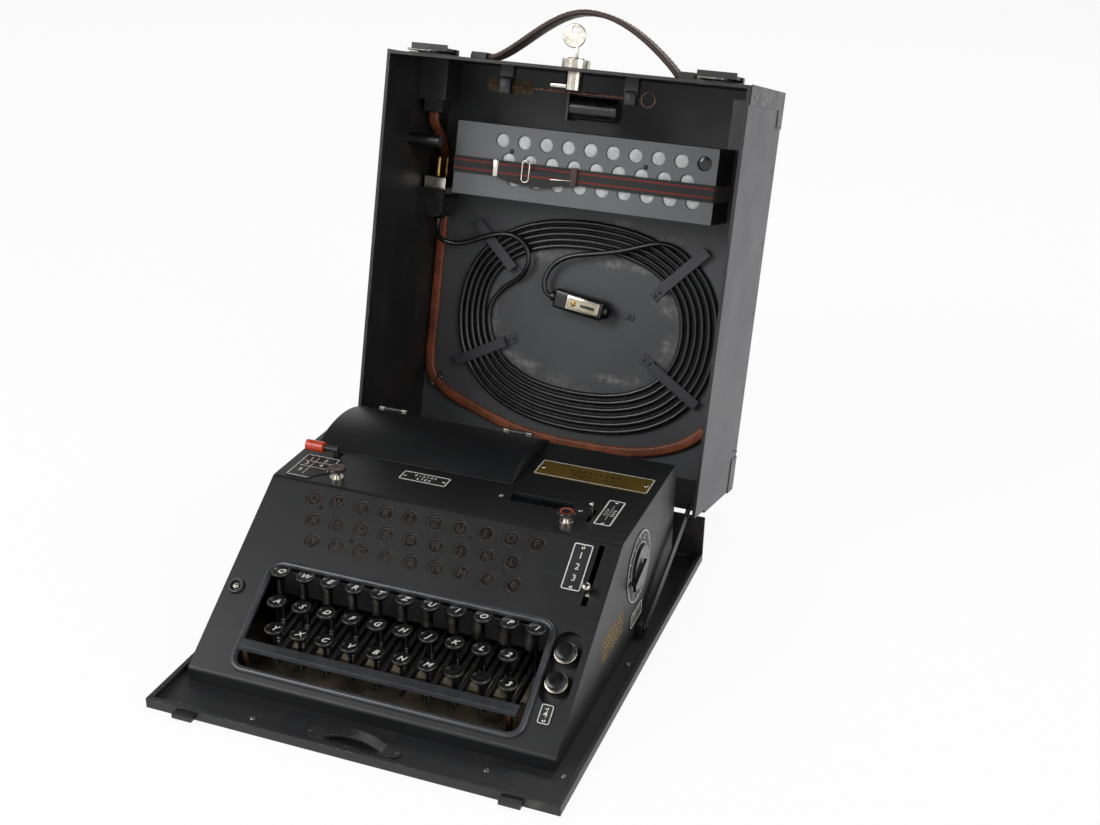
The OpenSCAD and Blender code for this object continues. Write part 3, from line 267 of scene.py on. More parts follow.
# where the back panel's paint is rubbed: x, distance from the hinge, half width, half height, in mm
rubSpots = [(-55, 197, 13, 4), (23, 197, 12, 4), (24, 234, 12, 5), (52, 196, 11, 4), (-95, 144, 4, 14),
            (82, 161, 9, 5),
            (84, 126, 5, 11), (-57, 89, 14, 4), (32, 87, 15, 4), (-71, 96, 9, 4), (-93, 123, 4, 11),
            (74, 226, 12, 4)]
# sizes of cloud, peel and edge in mm; gloss is roughness; wearFrom is how much of an edge keeps its paint
enamel = {"worn": "8b8984", "cloud": 60, "peel": 0.9, "gloss": (0.36, 0.52), "bump": 0.15, "scratch": 0.25,
          "wearFrom": 0.6,
          "specks": 0.2, "edge": 1.0}
enamelLooks = {
    "case": {"dark": "17181a", "light": "202123", "worn": "84827c", "bump": 0.18, "scratch": 0.35,
             "wearFrom": 0.55,
             "specks": 0.25, "stain": ("4a4038", 0.3)},
    "cover": {"dark": "434446", "light": "4f5052", "cloud": 80, "gloss": (0.4, 0.56), "spots": rubSpots,
              "ring": {"at": (0.0214, 2.125, 0), "scale": (10.7, 15.4, 0), "strength": 0.28}},
    "housing": {"dark": "0f1012", "light": "151618", "worn": "77767a", "cloud": 50, "peel": 0.6,
                "gloss": (0.38, 0.5),
                "bump": 0.22, "scratch": 0.2, "specks": 0.15, "edge": 0.8},
    "crackle": {"dark": "141517", "light": "1f2022", "worn": "6d6b67", "cloud": 30, "peel": 1.4,
                "gloss": (0.42, 0.6),
                "bump": 0.6, "scratch": 0.1, "wearFrom": 0.62, "specks": 0.1, "edge": 0.8},
    "fitting": {"dark": "1a1a1b", "light": "262627", "worn": "8c8a86", "cloud": 20, "peel": 0.8,
                "gloss": (0.3, 0.5),
                "bump": 0.2, "scratch": 0.5, "wearFrom": 0.5, "specks": 0.15, "edge": 0.6},
    # side walls outside, painted lighter as a painted reflection of the bright room at a grazing angle; the
    # cable's clips take the same lighter paint
    "flank": {"dark": "34353a", "light": "404146", "cloud": 70, "gloss": (0.36, 0.5), "scratch": 0.3,
              "wearFrom": 0.58,
              "specks": 0.25},
    # the keyboard's bead and rail: painted lighter as a painted highlight along them, and glossy where
    # hands polished them
    "bead": {"dark": "37383b", "light": "434448", "worn": "7d7b78", "cloud": 20, "peel": 0.8,
             "gloss": (0.16, 0.3),
             "bump": 0.1, "scratch": 0.15, "specks": 0.1, "edge": 0.8},
    # the lamp box's front, painted lighter than its sides as painted light falling on that face
    "litBoxFace": {"dark": "5b5c5e", "light": "696a6c", "gloss": (0.4, 0.55), "edge": 0.8},
    "lever": {"dark": "151516", "light": "212122", "worn": "9a9892", "cloud": 14, "peel": 0.8,
              "gloss": (0.35, 0.5),
              "bump": 0.2, "scratch": 0.6, "wearFrom": 0.42, "specks": 0.15, "edge": 0.7}}
paints = {key: stovedEnamel("stovedEnamel_" + key, {**enamel, **look}) for key, look in enamelLooks.items()}
metal = {"cloud": 9, "gloss": (0.3, 0.5), "grain": 0.5, "bump": 0.15}
metalLooks = {
    # mild steel, ground: grey with brown tarnish
    "steel": {"dark": "6a665f", "light": "a5a29b", "edgeColour": "cfccc4", "cloud": 12, "grain": 0.4,
              "bump": 0.2},
    # bright nickel plate: warm white mirror, cloudy with handling
    "nickel": {"dark": "b4ada0", "light": "e2ddd2", "edgeColour": "f4f1ea", "gloss": (0.1, 0.26),
               "grain": 0.6, "bump": 0.08},
    # rolled brass: yellow, dulled
    "brass": {"dark": "7d5f2c", "light": "c9a861", "edgeColour": "e6cd8d", "cloud": 8,
              "gloss": (0.22, 0.42)},
    # brass wire bristles: brown with age
    "agedBrass": {"dark": "3f3222", "light": "75603f", "edgeColour": "8d7650", "cloud": 6,
                  "gloss": (0.35, 0.55)},
    # copper rod: red brown, oxidised
    "copper": {"dark": "4a382f", "light": "8a6a5a", "edgeColour": "b08c76", "bump": 0.2},
    # passivated floor plate under the keys: dusty brown
    "dustyPlate": {"dark": "5c5347", "light": "9c8f7b", "edgeColour": "a89e8e", "cloud": 26,
                   "gloss": (0.55, 0.8), "grain": 1.2,
                   "bump": 0.4},
    # blackened pins and screws: dark steel with shine on the heads
    "blued": {"dark": "26262a", "light": "45454a", "edgeColour": "8e8d8e", "cloud": 6,
              "gloss": (0.25, 0.4)}}
metals = {key: workedMetal("workedMetal_" + key, {**metal, **look}) for key, look in metalLooks.items()}
plastic = {"cloud": 6, "gloss": (0.2, 0.38), "grain": 0.6, "bump": 0.1, "edgeDust": 0.2}
plasticLooks = {
    # phenolic (bakelite): black, glossy, worn satin on top
    "bakelite": {"dark": "0d0d0e", "light": "1b1b1c", "cloud": 7, "gloss": (0.16, 0.34), "grain": 0.8,
                 "bump": 0.06},
    # natural rubber sheath: dark grey, matt with dull sheen
    "rubber": {"dark": "101011", "light": "1f1f20", "cloud": 16, "gloss": (0.24, 0.36), "grain": 0.8,
               "bump": 0.2, "edgeDust": 0.1},
    # lamp window: brown-red cellulose sheet behind the panel
    "window": {"dark": "100d0c", "light": "1b1412", "cloud": 5, "gloss": (0.2, 0.4), "grain": 0.9,
               "edgeDust": 0.0},
    # frosted lamp disc: pale grey glass
    "frosted": {"dark": "a9abac", "light": "cfd1d1", "cloud": 5, "gloss": (0.35, 0.55), "grain": 0.7,
                "edgeDust": 0.3},
    # ivory casein insert
    "ivory": {"dark": "b5aa8d", "light": "e3dbc3", "cloud": 8, "gloss": (0.35, 0.55), "grain": 0.8,
              "bump": 0.15, "edgeDust": 0.4},
    # white filling in engraved letters: slightly yellowed
    "whiteFill": {"dark": "c9c7c0", "light": "efeeea", "cloud": 3, "gloss": (0.5, 0.6), "grain": 0.5,
                  "bump": 0.05, "edgeDust": 0.0},
    # faint printed letters on the lamp windows
    "fadedPrint": {"dark": "241b18", "light": "342823", "cloud": 3, "gloss": (0.4, 0.6), "grain": 0.5,
                   "bump": 0.05, "edgeDust": 0.0},
    # red lacquered knob
    "redLacquer": {"dark": "a63219", "light": "d44c28", "bump": 0.12, "edgeDust": 0.35, "dust": "c98a72"},
    # dark red ring let into a cap
    "darkRed": {"dark": "4a1712", "light": "6b2219"},
    # yellow-brown lacquered plate
    "ochrePlate": {"dark": "463603", "light": "5e4905", "cloud": 30, "gloss": (0.34, 0.5), "bump": 0.08,
                   "edgeDust": 0.4,
                   "dust": "a89a66"},
    # dark glass of the little windows, and the near-black painted into the slots of the socket pin and the
    # connector as painted shade
    "darkGlassAndSlotShade": {"dark": "0a0b0c", "light": "101213", "cloud": 20, "gloss": (0.05, 0.12), "grain": 2,
                  "bump": 0.01, "edgeDust": 0.0}}
plastics = {key: mouldedPlastic("moulding_" + key, {**plastic, **look})
            for key, look in plasticLooks.items()}
hide = {"cloud": 22, "bump": 0.45}
brownLeather = tannedLeather("tannedLeather_brown", {**hide, "dark": "5a2c1a", "light": "a05a38",
                                                     "edgeColour": "6b3722", "gloss": (0.35, 0.55)})
darkLeather = tannedLeather("tannedLeather_dark", {**hide, "dark": "2b1f1c", "light": "4f3c36",
                                                   "edgeColour": "65504a", "gloss": (0.38, 0.58)})
webbing = {"from": 269, "to": 284, "stripes": [(0, "2d2b2b"), (0.2, "8a2824"), (0.3, "2f2d2d"),
                                               (0.72, "8a2824"), (0.82, "2d2b2b")]}
stripedWeb = wovenWebbing("cottonWebbing_striped", webbing)
paleString = twistedFibre("twistedString", {"dark": "9c8b6c", "light": "cdbd9c", "cloud": 4})
print("materials ready:", len(bpy.data.materials))


# ---- modelling helpers ----
def deselectAll():
    if bpy.context.object and bpy.context.object.mode != "OBJECT":
        bpy.ops.object.mode_set(mode="OBJECT")
    bpy.ops.object.select_all(action="DESELECT")


def activate(*pieces):
    deselectAll()
    for piece in pieces:
        piece.select_set(True)
    bpy.context.view_layer.objects.active = pieces[0]
    return pieces[0]


def useModifier(piece, kind, **settings):
    activate(piece)
    modifier = piece.modifiers.new(kind.lower(), kind)
    for key, value in settings.items():
        setattr(modifier, key, value)
    bpy.ops.object.modifier_apply(modifier=modifier.name)


def settle(piece, name, body, material, place=rowPlace, smooth=38):
    # moves a piece modelled in millimetres to its place and leaves its object at the origin
    activate(piece)
    piece.matrix_world = place @ piece.matrix_world
    bpy.ops.object.transform_apply(location=True, rotation=True, scale=True)
    piece.name = name
    piece.data.name = name
    if material:
        piece.data.materials.clear()
        piece.data.materials.append(material)
    bpy.ops.object.shade_smooth_by_angle(angle=math.radians(smooth))
    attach(piece, body)
    return piece


def block(size, at, edge=0.4, segments=2, turn=(0, 0, 0)):
    bpy.ops.mesh.primitive_cube_add(size=1, location=at, rotation=turn)
    piece = bpy.context.object
    piece.scale = size
    activate(piece)
    bpy.ops.object.transform_apply(location=False, rotation=False, scale=True)
    if edge:
        useModifier(piece, "BEVEL", width=edge, segments=segments, limit_method="NONE")
    return piece


def turned(profile, steps=32, at=(0, 0, 0), turn=(0, 0, 0)):
    # a profile of [radius, height] points spun about Z
    mesh = bpy.data.meshes.new("profile")
    mesh.from_pydata([(r, 0, z) for r, z in profile], [(i, i + 1) for i in range(len(profile) - 1)], [])
    piece = bpy.data.objects.new("profile", mesh)
    bpy.context.scene.collection.objects.link(piece)
    activate(piece)
    bpy.ops.object.mode_set(mode="EDIT")
    bpy.ops.mesh.select_all(action="SELECT")
    bpy.ops.mesh.spin(steps=steps, angle=2 * math.pi, center=(0, 0, 0), axis=(0, 0, 1))
    bpy.ops.mesh.select_all(action="SELECT")
    bpy.ops.mesh.remove_doubles(threshold=0.001)
    bpy.ops.mesh.normals_make_consistent(inside=False)
    bpy.ops.object.mode_set(mode="OBJECT")
    piece.rotation_euler = turn
    piece.location = at
    return piece


def drawn(points, radius=None, profile=None, closed=False, smooth=True, sides=3, between=3):
    # wire, cord or strap drawn along points, as a mesh
    curve = bpy.data.curves.new("drawn", "CURVE")
    curve.dimensions = "3D"
    curve.twist_mode = "Z_UP" if profile else "MINIMUM"
    spline = curve.splines.new("BEZIER" if smooth else "POLY")
    if smooth:
        spline.bezier_points.add(len(points) - 1)
        for knot, p in zip(spline.bezier_points, points):
            knot.co = p
            knot.handle_left_type = knot.handle_right_type = "AUTO"
    else:
        spline.points.add(len(points) - 1)
        for knot, p in zip(spline.points, points):
            knot.co = (*p, 1)
    spline.use_cyclic_u = closed
    spline.resolution_u = between
    curve.use_fill_caps = True
    if profile:
        outline = bpy.data.curves.new("outline", "CURVE")
        outline.dimensions = "2D"
        edge = outline.splines.new("POLY")
        edge.points.add(len(profile) - 1)
        for knot, p in zip(edge.points, profile):
            knot.co = (p[0], p[1], 0, 1)
        edge.use_cyclic_u = True
        shape = bpy.data.objects.new("outline", outline)
        bpy.context.scene.collection.objects.link(shape)
        curve.bevel_mode = "OBJECT"
        curve.bevel_object = shape
    else:
        curve.bevel_depth = radius
        curve.bevel_resolution = sides
    piece = bpy.data.objects.new("drawn", curve)
    bpy.context.scene.collection.objects.link(piece)
    activate(piece)
    bpy.context.view_layer.update()
    bpy.ops.object.convert(target="MESH")
    piece = bpy.context.object
    if profile:
        bpy.data.objects.remove(shape)
    bpy.ops.object.mode_set(mode="EDIT")
    bpy.ops.mesh.select_all(action="SELECT")
    bpy.ops.mesh.remove_doubles(threshold=0.0005)
    bpy.ops.mesh.normals_make_consistent(inside=False)
    bpy.ops.object.mode_set(mode="OBJECT")
    return piece


def roundedOutline(width, height, corner, steps=4):
    spots = []
    for cx, cy, start in ((1, 1, 0), (-1, 1, 90), (-1, -1, 180), (1, -1, 270)):
        for i in range(steps + 1):
            a = math.radians(start + 90 * i / steps)
            spots.append((cx * (width / 2 - corner) + corner * math.cos(a),
                          cy * (height / 2 - corner) + corner * math.sin(a)))
    return spots


def repeated(master, places):
    # one mesh holding a copy of master at each place; master goes
    verts, faces = [], []
    for place in places:
        start = len(verts)
        verts += [place @ (master.matrix_world @ v.co) for v in master.data.vertices]
        faces += [[start + i for i in f.vertices] for f in master.data.polygons]
    mesh = bpy.data.meshes.new("repeated")
    mesh.from_pydata(verts, [], faces)
    piece = bpy.data.objects.new("repeated", mesh)
    bpy.context.scene.collection.objects.link(piece)
    bpy.data.objects.remove(master)
    return piece


def joined(*pieces):
    activate(*pieces)
    if len(pieces) > 1:
        bpy.ops.object.transform_apply(location=True, rotation=True, scale=True)
        bpy.ops.object.join()
    return bpy.context.object


def painted(piece, material):
    piece.data.materials.clear()
    piece.data.materials.append(material)
    return piece


def marked(text, size, raise_, slant=0.0, bold=0.0):
    # a letter or figure as a thin solid, centred on the origin
    bpy.ops.object.text_add(location=(0, 0, 0))
    piece = bpy.context.object
    piece.data.body = text
    piece.data.size = size
    piece.data.extrude = raise_ / 2
    piece.data.offset = bold
    piece.data.shear = slant
    piece.data.align_x = "CENTER"
    piece.data.align_y = "CENTER"
    piece.data.resolution_u = 3
    activate(piece)
    bpy.ops.object.convert(target="MESH")
    return bpy.context.object


def fromCad(nodeName, body, material, edge=0.4, segments=2, smooth=35, regions=()):
    # the CAD node's own shape, merged and with its edges broken, takes the node's place
    mesh = nodes[nodeName].data.copy()
    piece = bpy.data.objects.new(nodeName + "_finished", mesh)
    bpy.context.scene.collection.objects.link(piece)
    mesh.materials.clear()
    activate(piece)
    bpy.ops.mesh.customdata_custom_splitnormals_clear()
    bpy.ops.object.mode_set(mode="EDIT")
    bpy.ops.mesh.select_all(action="SELECT")
    bpy.ops.mesh.remove_doubles(threshold=0.000002)
    bpy.ops.mesh.dissolve_limited(angle_limit=math.radians(0.5))
    bpy.ops.object.mode_set(mode="OBJECT")
    if edge:
        useModifier(piece, "BEVEL", width=edge / 1000, segments=segments, limit_method="ANGLE",
                    angle_limit=math.radians(40))
    mesh = piece.data
    mesh.materials.append(material)
    for other, test in regions:
        mesh.materials.append(other)
        index = len(mesh.materials) - 1
        for face in mesh.polygons:
            if test(face.center):
                face.material_index = index
    activate(piece)
    bpy.ops.object.shade_smooth_by_angle(angle=math.radians(smooth))
    useModifier(piece, "WEIGHTED_NORMAL", keep_sharp=True)
    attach(piece, body)
    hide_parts(nodeName)
    return piece


# ---- camera at the photograph's place ----
view = {"azimuth": 19.908, "elevation": 24.895, "roll": 1.296, "focalPixels": 1486.53, "imageWidth": 1100,
        "at": (0.42542, -0.942, 0.67467)}
az, el, roll = (math.radians(view[k]) for k in ("azimuth", "elevation", "roll"))
back = Vector((math.sin(az) * math.cos(el), -math.cos(az) * math.cos(el), math.sin(el)))
right0 = (-back).cross(Vector((0, 0, 1))).normalized()
up0 = right0.cross(-back)
right = right0 * math.cos(roll) + up0 * math.sin(roll)
up = up0 * math.cos(roll) - right0 * math.sin(roll)
bpy.ops.object.camera_add()
camera = bpy.context.object
camera.matrix_world = Matrix.Translation(view["at"]) @ Matrix((right, up, back)).transposed().to_4x4()
camera.data.sensor_width = 36
camera.data.lens = view["focalPixels"] / view["imageWidth"] * camera.data.sensor_width
camera.data.clip_start = 0.01
camera.data.dof.use_dof = False
bpy.context.scene.camera = camera


# ---- case ----
fromCad("base_tray", "case_base", paints["case"], edge=0.7)
fromCad("tray_fittings", "case_base", metals["steel"], edge=0.25, regions=[
    (paints["fitting"], lambda p: p.y < -0.15 and abs(p.x) < 0.05 and p.z < 0.0048),
    (paints["fitting"], lambda p: p.y < -0.15 and p.z >= 0.0048 and abs(p.x) < 0.036),
    (paints["fitting"], lambda p: p.y < -0.18 and abs(p.x) > 0.11),
    (paints["case"], lambda p: p.x > 0.14 and 0.04 < p.y < 0.07)])
fromCad("lid_stay", "stay", paints["case"], edge=0.3)


def coverRegion(x, v, w):
    return lambda p: all(lo <= q <= hi for q, (lo, hi) in zip(inCover(p), (x, v, w)))


fromCad("cover_shell", "cover", paints["case"], edge=0.6, regions=[
    (paints["cover"], coverRegion((-161.4, 161.4), (4.2, 368.8), (143.3, 143.8))),
    # the outer side walls take the lighter paint, a painted reflection
    (paints["flank"], lambda p: abs(inCover(p)[0]) > 162.9 and 4 < inCover(p)[1] < 369)])
fromCad("cover_fittings", "cover", paints["fitting"], edge=0.3, regions=[
    (metals["nickel"], coverRegion((-14, 14), (370.4, 380), (22, 50))),
    (metals["steel"], coverRegion((151, 163), (5, 13), (10, 18))),
    (paints["flank"], coverRegion((-128, 128), (60, 230), (130, 143.45))),
    (plastics["rubber"], coverRegion((-162, -129), (288, 302), (53, 67))),
    (plastics["bakelite"], coverRegion((-162, -135), (223, 251), (85, 93))),
    (plastics["bakelite"], coverRegion((-16, 32), (327, 350), (69, 91)))])
for side in ("left", "right"):
    fromCad(side + "_latch", side + "_latch", paints["fitting"], edge=0.3, regions=[
        (metals["steel"], lambda p: inCover(p)[2] < 14)])
print("case done")

# ---- carrying handle: padded leather strap, stitched along both edges ----
handle = {"half": 86, "rise": 46, "atW": 60, "width": 20, "thick": 5, "stitchEvery": 4.2}


def archV(x):
    reach = max(0, math.cos(math.radians(90 * min(1, abs(x) / handle["half"]))))
    return case["frontWall"] + 3.6 + handle["rise"] * reach ** (1.4 if x < 0 else 0.9)


handleXs = [handle["half"] * math.sin(math.radians(90 * i / 16)) for i in range(-16, 17)]
handlePath = [(-105, -archV(90), handle["atW"]), (-95, -archV(90), handle["atW"])]
handlePath += [(x, -archV(x), handle["atW"]) for x in handleXs]
handlePath += [(95, -archV(90), handle["atW"]), (105, -archV(90), handle["atW"])]
strap = drawn(handlePath, profile=roundedOutline(handle["thick"] - 0.6, handle["width"] - 0.6, 1.4),
              smooth=False)
strap = settle(strap, "handleStrap", "cover", darkLeather, coverPlace)
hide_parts("carry_handle")
stitch = turned([(0, -1.3), (0.3, -1.1), (0.38, 0), (0.3, 1.1), (0, 1.3)], 6)
stitchPlaces = []
run = 0
for a, b in zip(handlePath[3:-4], handlePath[4:-3]):
    pa, pb = Vector(a), Vector(b)
    step = (pb - pa).length
    along = (pb - pa).normalized()
    out = Vector((along.y, -along.x, 0))
    lieAlong = along.to_track_quat("Z", "Y").to_matrix().to_4x4()
    while run < step:
        for rim in (-1, 1):
            spot = pa + along * run + out * (handle["thick"] / 2 - 0.25) + Vector((0, 0, rim * 7.6))
            stitchPlaces.append(Matrix.Translation(spot) @ lieAlong)
        run += handle["stitchEvery"]
    run -= step
settle(repeated(stitch, stitchPlaces), "handleStitches", "cover", paleString, coverPlace)
print("handle done")

# ---- rivets along the outside of the cover's sides ----
rivets = {"along": (340, 300, 235, 170, 100, 40), "height": 138, "edgeAlong": 362,
          "edgeHeights": (22, 62, 102)}
rivet = turned([(0, 1.1), (0.8, 1.0), (1.6, 0.6), (1.9, 0), (0, 0)], 16)
spots = []
for side in (-1, 1):
    outward = Matrix.Rotation(side * math.pi / 2, 4, "Y")
    spots += [Matrix.Translation((side * (case["outside"] - 2), -v, rivets["height"])) @ outward
              for v in rivets["along"][1:-1]]
    spots += [Matrix.Translation((side * (case["outside"] - 1.2), -v, rivets["height"])) @ outward
              for v in rivets["along"][::5]]
    spots += [Matrix.Translation((side * (case["outside"] - 1.2), -rivets["edgeAlong"], w)) @ outward
              for w in rivets["edgeHeights"]]
settle(repeated(rivet, spots), "coverRivets", "cover", metals["steel"], coverPlace)

# ---- mains cable: held in a flat coil by the four clips ----
cable = {"radius": 2.5, "loops": 134, "start": 188, "power": 0.86, "midIn": (-2, 138), "midOut": (0, 134.5),
         "halfIn": (96, 67.5), "halfOut": (131, 103), "coilW": 140.8, "leadW": 133.8}
leadW, coilW = cable["leadW"], cable["coilW"]
plugLead = [(-148, 223.8, 111), (-148, 217, 111), (-149, 209, 114), (-149, 202, 120.5),
            (-142, 198, 127.5), (-133, 198, 132), (-124, 200.5, leadW), (-107, 207.5, leadW),
            (-92, 212, leadW), (-80, 212.5, leadW), (-70.5, 209, leadW), (-64, 203, leadW),
            (-60.5, 195, leadW), (-60.5, 187, 134.4), (-63.5, 179, 135.8), (-69, 172, 137.6),
            (-77, 166, 139.4), (-85, 159.5, 140.5), (-91.5, 152, coilW), (-95.5, 144, coilW),
            (-97.5, 136, coilW)]
connectorLead = [(99.5, 207.6, coilW), (91.5, 214.8, 140.6), (84.5, 219.3, 138.6), (77, 222.4, 136.2),
                 (70, 223.4, 134.4), (62, 222, leadW), (54, 219.5, leadW), (40, 214.5, leadW),
                 (27, 210.5, leadW), (10, 206.5, leadW), (-5, 203.5, leadW), (-18, 200, leadW),
                 (-28, 195, leadW), (-36, 187.5, leadW), (-40.5, 178, 133.2), (-41, 169, 132.5),
                 (-37, 161.7, 132.5), (-29.3, 160, 132.5)]


def bulge(c):
    return math.copysign(abs(c) ** cable["power"], c)


def coilPoint(i):
    a, f = math.radians(cable["start"] + 15 * i), i / cable["loops"]
    mid = [p + (q - p) * f for p, q in zip(cable["midIn"], cable["midOut"])]
    half = [p + (q - p) * f for p, q in zip(cable["halfIn"], cable["halfOut"])]
    return mid[0] + half[0] * bulge(math.cos(a)), mid[1] + half[1] * bulge(math.sin(a)), coilW


cablePath = plugLead + [coilPoint(i) for i in range(cable["loops"] + 1)] + connectorLead
cord = drawn([(x, -v, w) for x, v, w in cablePath], radius=cable["radius"], sides=3, between=3)
cord = settle(cord, "mainsCableRubber", "cover", plastics["rubber"], coverPlace, smooth=60)
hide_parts("mains_cable")
print("cable done:", len(cord.data.polygons), "faces")

# ---- remote lamp box: its own shape, with frosted discs behind the holes ----
lampBox = {"face": 83.5, "screws": (-69, 59.5), "screwV": 293, "rows": ((302, 10), (284.7, 9), (267.4, 9)),
           "x0": -79, "step": 7.3, "pitch": 21.3, "disc": 7.2}
fromCad("remote_lamp_box", "cover", paints["case"], edge=0.8, segments=3, regions=[
    # the box's front takes the lighter paint, painted light on that face
    (paints["litBoxFace"], coverRegion((-126, 126), (248, 317), (83.2, 84.1)))])
disc = turned([(0, 0.9), (5.4, 0.9), (6.6, 0.5), (lampBox["disc"], -0.4), (lampBox["disc"], -1.2),
               (0, -1.2)], 28)
pale, dim = [], []
for row, (v, count) in enumerate(lampBox["rows"]):
    for k in range(count):
        spot = Matrix.Translation((lampBox["x0"] + lampBox["step"] * row + lampBox["pitch"] * k, -v,
                                   lampBox["face"] + 2.1)) @ Matrix.Rotation(math.pi, 4, "X")
        (dim if row == 0 and k == count - 1 else pale).append(spot)
dimDisc = disc.copy()
dimDisc.data = disc.data.copy()
bpy.context.scene.collection.objects.link(dimDisc)
settle(repeated(disc, pale), "boxLampDiscs", "cover", plastics["frosted"], coverPlace)
settle(repeated(dimDisc, dim), "boxLampDiscDark", "cover", plastics["darkGlassAndSlotShade"], coverPlace)
boxScrew = turned([(0, 0.8), (1.7, 0.7), (2.3, 0.1), (2.3, -0.3), (0, -0.3)], 16)
screwPlaces = [Matrix.Translation((x, -lampBox["screwV"], lampBox["face"]))
               @ Matrix.Rotation(math.pi, 4, "X") for x in lampBox["screws"]]
settle(repeated(boxScrew, screwPlaces), "boxScrews", "cover", metals["blued"], coverPlace)
print("lamp box done")

# ---- straps ----
strapRoute = [(-152, 320.7, 88), (-152, 313, 89), (-152.5, 303, 104), (-153.5, 291, 121),
              (-155, 276, 132), (-156, 262, 138), (-156, 246, 140.6), (-156, 215, 141), (-156, 180, 141),
              (-156, 140, 141), (-156, 105, 141), (-156, 84, 140.5), (-153, 67, 140), (-140, 53, 140),
              (-124, 44.5, 140.5), (-104, 37.5, 141), (-80, 29, 141), (-55, 23, 141), (-25, 19, 141),
              (10, 18, 141), (45, 19, 141), (75, 23, 141), (100, 31, 141), (118, 41, 141),
              (131, 53, 141)]
thong = drawn([(x, -v, w) for x, v, w in strapRoute], profile=roundedOutline(9.6, 5.4, 2.4, 5), between=6)
thong = settle(thong, "leatherStrap", "cover", brownLeather, coverPlace, smooth=60)
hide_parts("stowage_straps")
slide = {"at": (-146.5, -60, 140), "turn": 47.1, "halfWidth": 6.1, "halfHeight": 2.9}
slideTurn = Matrix.Rotation(math.radians(slide["turn"]), 4, "Z")
slidePlace = coverPlace @ Matrix.Translation(slide["at"]) @ slideTurn
slideCorners = [(0, s * slide["halfWidth"], t * slide["halfHeight"])
                for s, t in ((-1, -1), (1, -1), (1, 1), (-1, 1))]
slideFrame = drawn(slideCorners, radius=0.9, closed=True, smooth=False)
settle(slideFrame, "strapSlide", "cover", metals["steel"], slidePlace, smooth=60)
cheeks = [block((7.4, 1.2, 6), (0, s * slide["halfWidth"], 0), edge=0.4) for s in (1, -1)]
settle(joined(*cheeks), "strapSlideCheeks", "cover", metals["steel"], slidePlace)


def band(path, thick, y0, y1, rows=4, wave=0.0, sag=0.0):
    # a ribbon lying along a path of [x, z] points, from y0 to y1, hanging by sag in the middle
    middle = [Vector(p) for p in path]
    verts, faces = [], []
    for i, p in enumerate(middle):
        along = (middle[min(i + 1, len(middle) - 1)] - middle[max(i - 1, 0)]).normalized()
        out = Vector((-along.y, along.x)) * thick / 2
        for j in range(rows + 1):
            y = y0 + (y1 - y0) * j / rows + sag * math.sin(math.pi * i / (len(middle) - 1))
            ripple = out.normalized() * wave * math.sin(i * 0.9 + j * 1.3)
            crown = 1 - 0.35 * abs(2 * j / rows - 1) ** 4
            a, b = p + ripple + out * crown, p + ripple - out * crown
            verts += [(a.x, y, a.y), (b.x, y, b.y)]
    step = 2 * (rows + 1)
    for i in range(len(middle) - 1):
        for j in range(rows):
            a = i * step + 2 * j
            faces += [(a, a + 2, a + 2 + step, a + step), (a + 1, a + 1 + step, a + 3 + step, a + 3)]
        a, b = i * step, i * step + 2 * rows
        faces += [(a, a + step, a + 1 + step, a + 1), (b, b + 1, b + 1 + step, b + step)]
    for a in (0, (len(middle) - 1) * step):
        faces += [(a + 2 * j, a + 2 * j + 1, a + 2 * j + 3, a + 2 * j + 2) for j in range(rows)]
    mesh = bpy.data.meshes.new("band")
    mesh.from_pydata(verts, [], faces)
    piece = bpy.data.objects.new("band", mesh)
    bpy.context.scene.collection.objects.link(piece)
    activate(piece)
    bpy.ops.object.mode_set(mode="EDIT")
    bpy.ops.mesh.select_all(action="SELECT")
    bpy.ops.mesh.normals_make_consistent(inside=False)
    bpy.ops.object.mode_set(mode="OBJECT")
    return piece


web = {"low": -284, "high": -269, "thick": 1.1, "over": 82.5, "side": 125.9}
webSide = [(-web["side"], 143.2 - 6 * i) for i in range(10)]
webSide += [(-web["side"] + 0.3, 84.2), (-web["side"] + 2, web["over"])]
webPath = webSide + [(-118 + 6 * i, web["over"]) for i in range(40)]
webPath += [(-x, z) for x, z in reversed(webSide)]
settle(band(webPath, web["thick"], web["low"], web["high"], wave=0.12), "webStrap", "cover", stripedWeb,
       coverPlace)
# the strap's free end comes through the keeper and the buckle and hangs loose over it
tongue = band([(-81, 78.2), (-75, 77.2), (-68, 77.6), (-60, 79.8), (-52, 79.8), (-44, 77.4), (-34, 78.6),
               (-24, 79.8), (-14, 80.2), (-6, 80.4)],
              web["thick"], web["low"] + 0.4, web["high"] - 0.4, sag=6)
settle(tongue, "webStrapEnd", "cover", stripedWeb, coverPlace)
keeper = band([(-9, 82.9), (-9.4, 81), (-8.6, 79.4), (-6, 79), (-3.4, 79.4), (-2.6, 81), (-3, 82.9)], 0.7,
              web["low"] - 1, web["high"] + 1)
settle(keeper, "webKeeper", "cover", darkLeather, coverPlace)
buckleFrame = drawn([(-52 + a, -276.5 + b, 78) for a, b in roundedOutline(7, 19.4, 3)], radius=0.85,
                    closed=True, smooth=False)
hookWire = drawn([(-33, -269.6, 81), (-30, -271.4, 79.8), (-20, -272.4, 79.2), (-8, -273, 79.8)],
                 radius=0.7)
tip = block((5, 15.2, 1.9), (-81.6, -276.5, 78.2), edge=0.5)
settle(joined(buckleFrame, hookWire, tip), "webBuckle", "cover", metals["nickel"], coverPlace, smooth=60)
print("straps done")

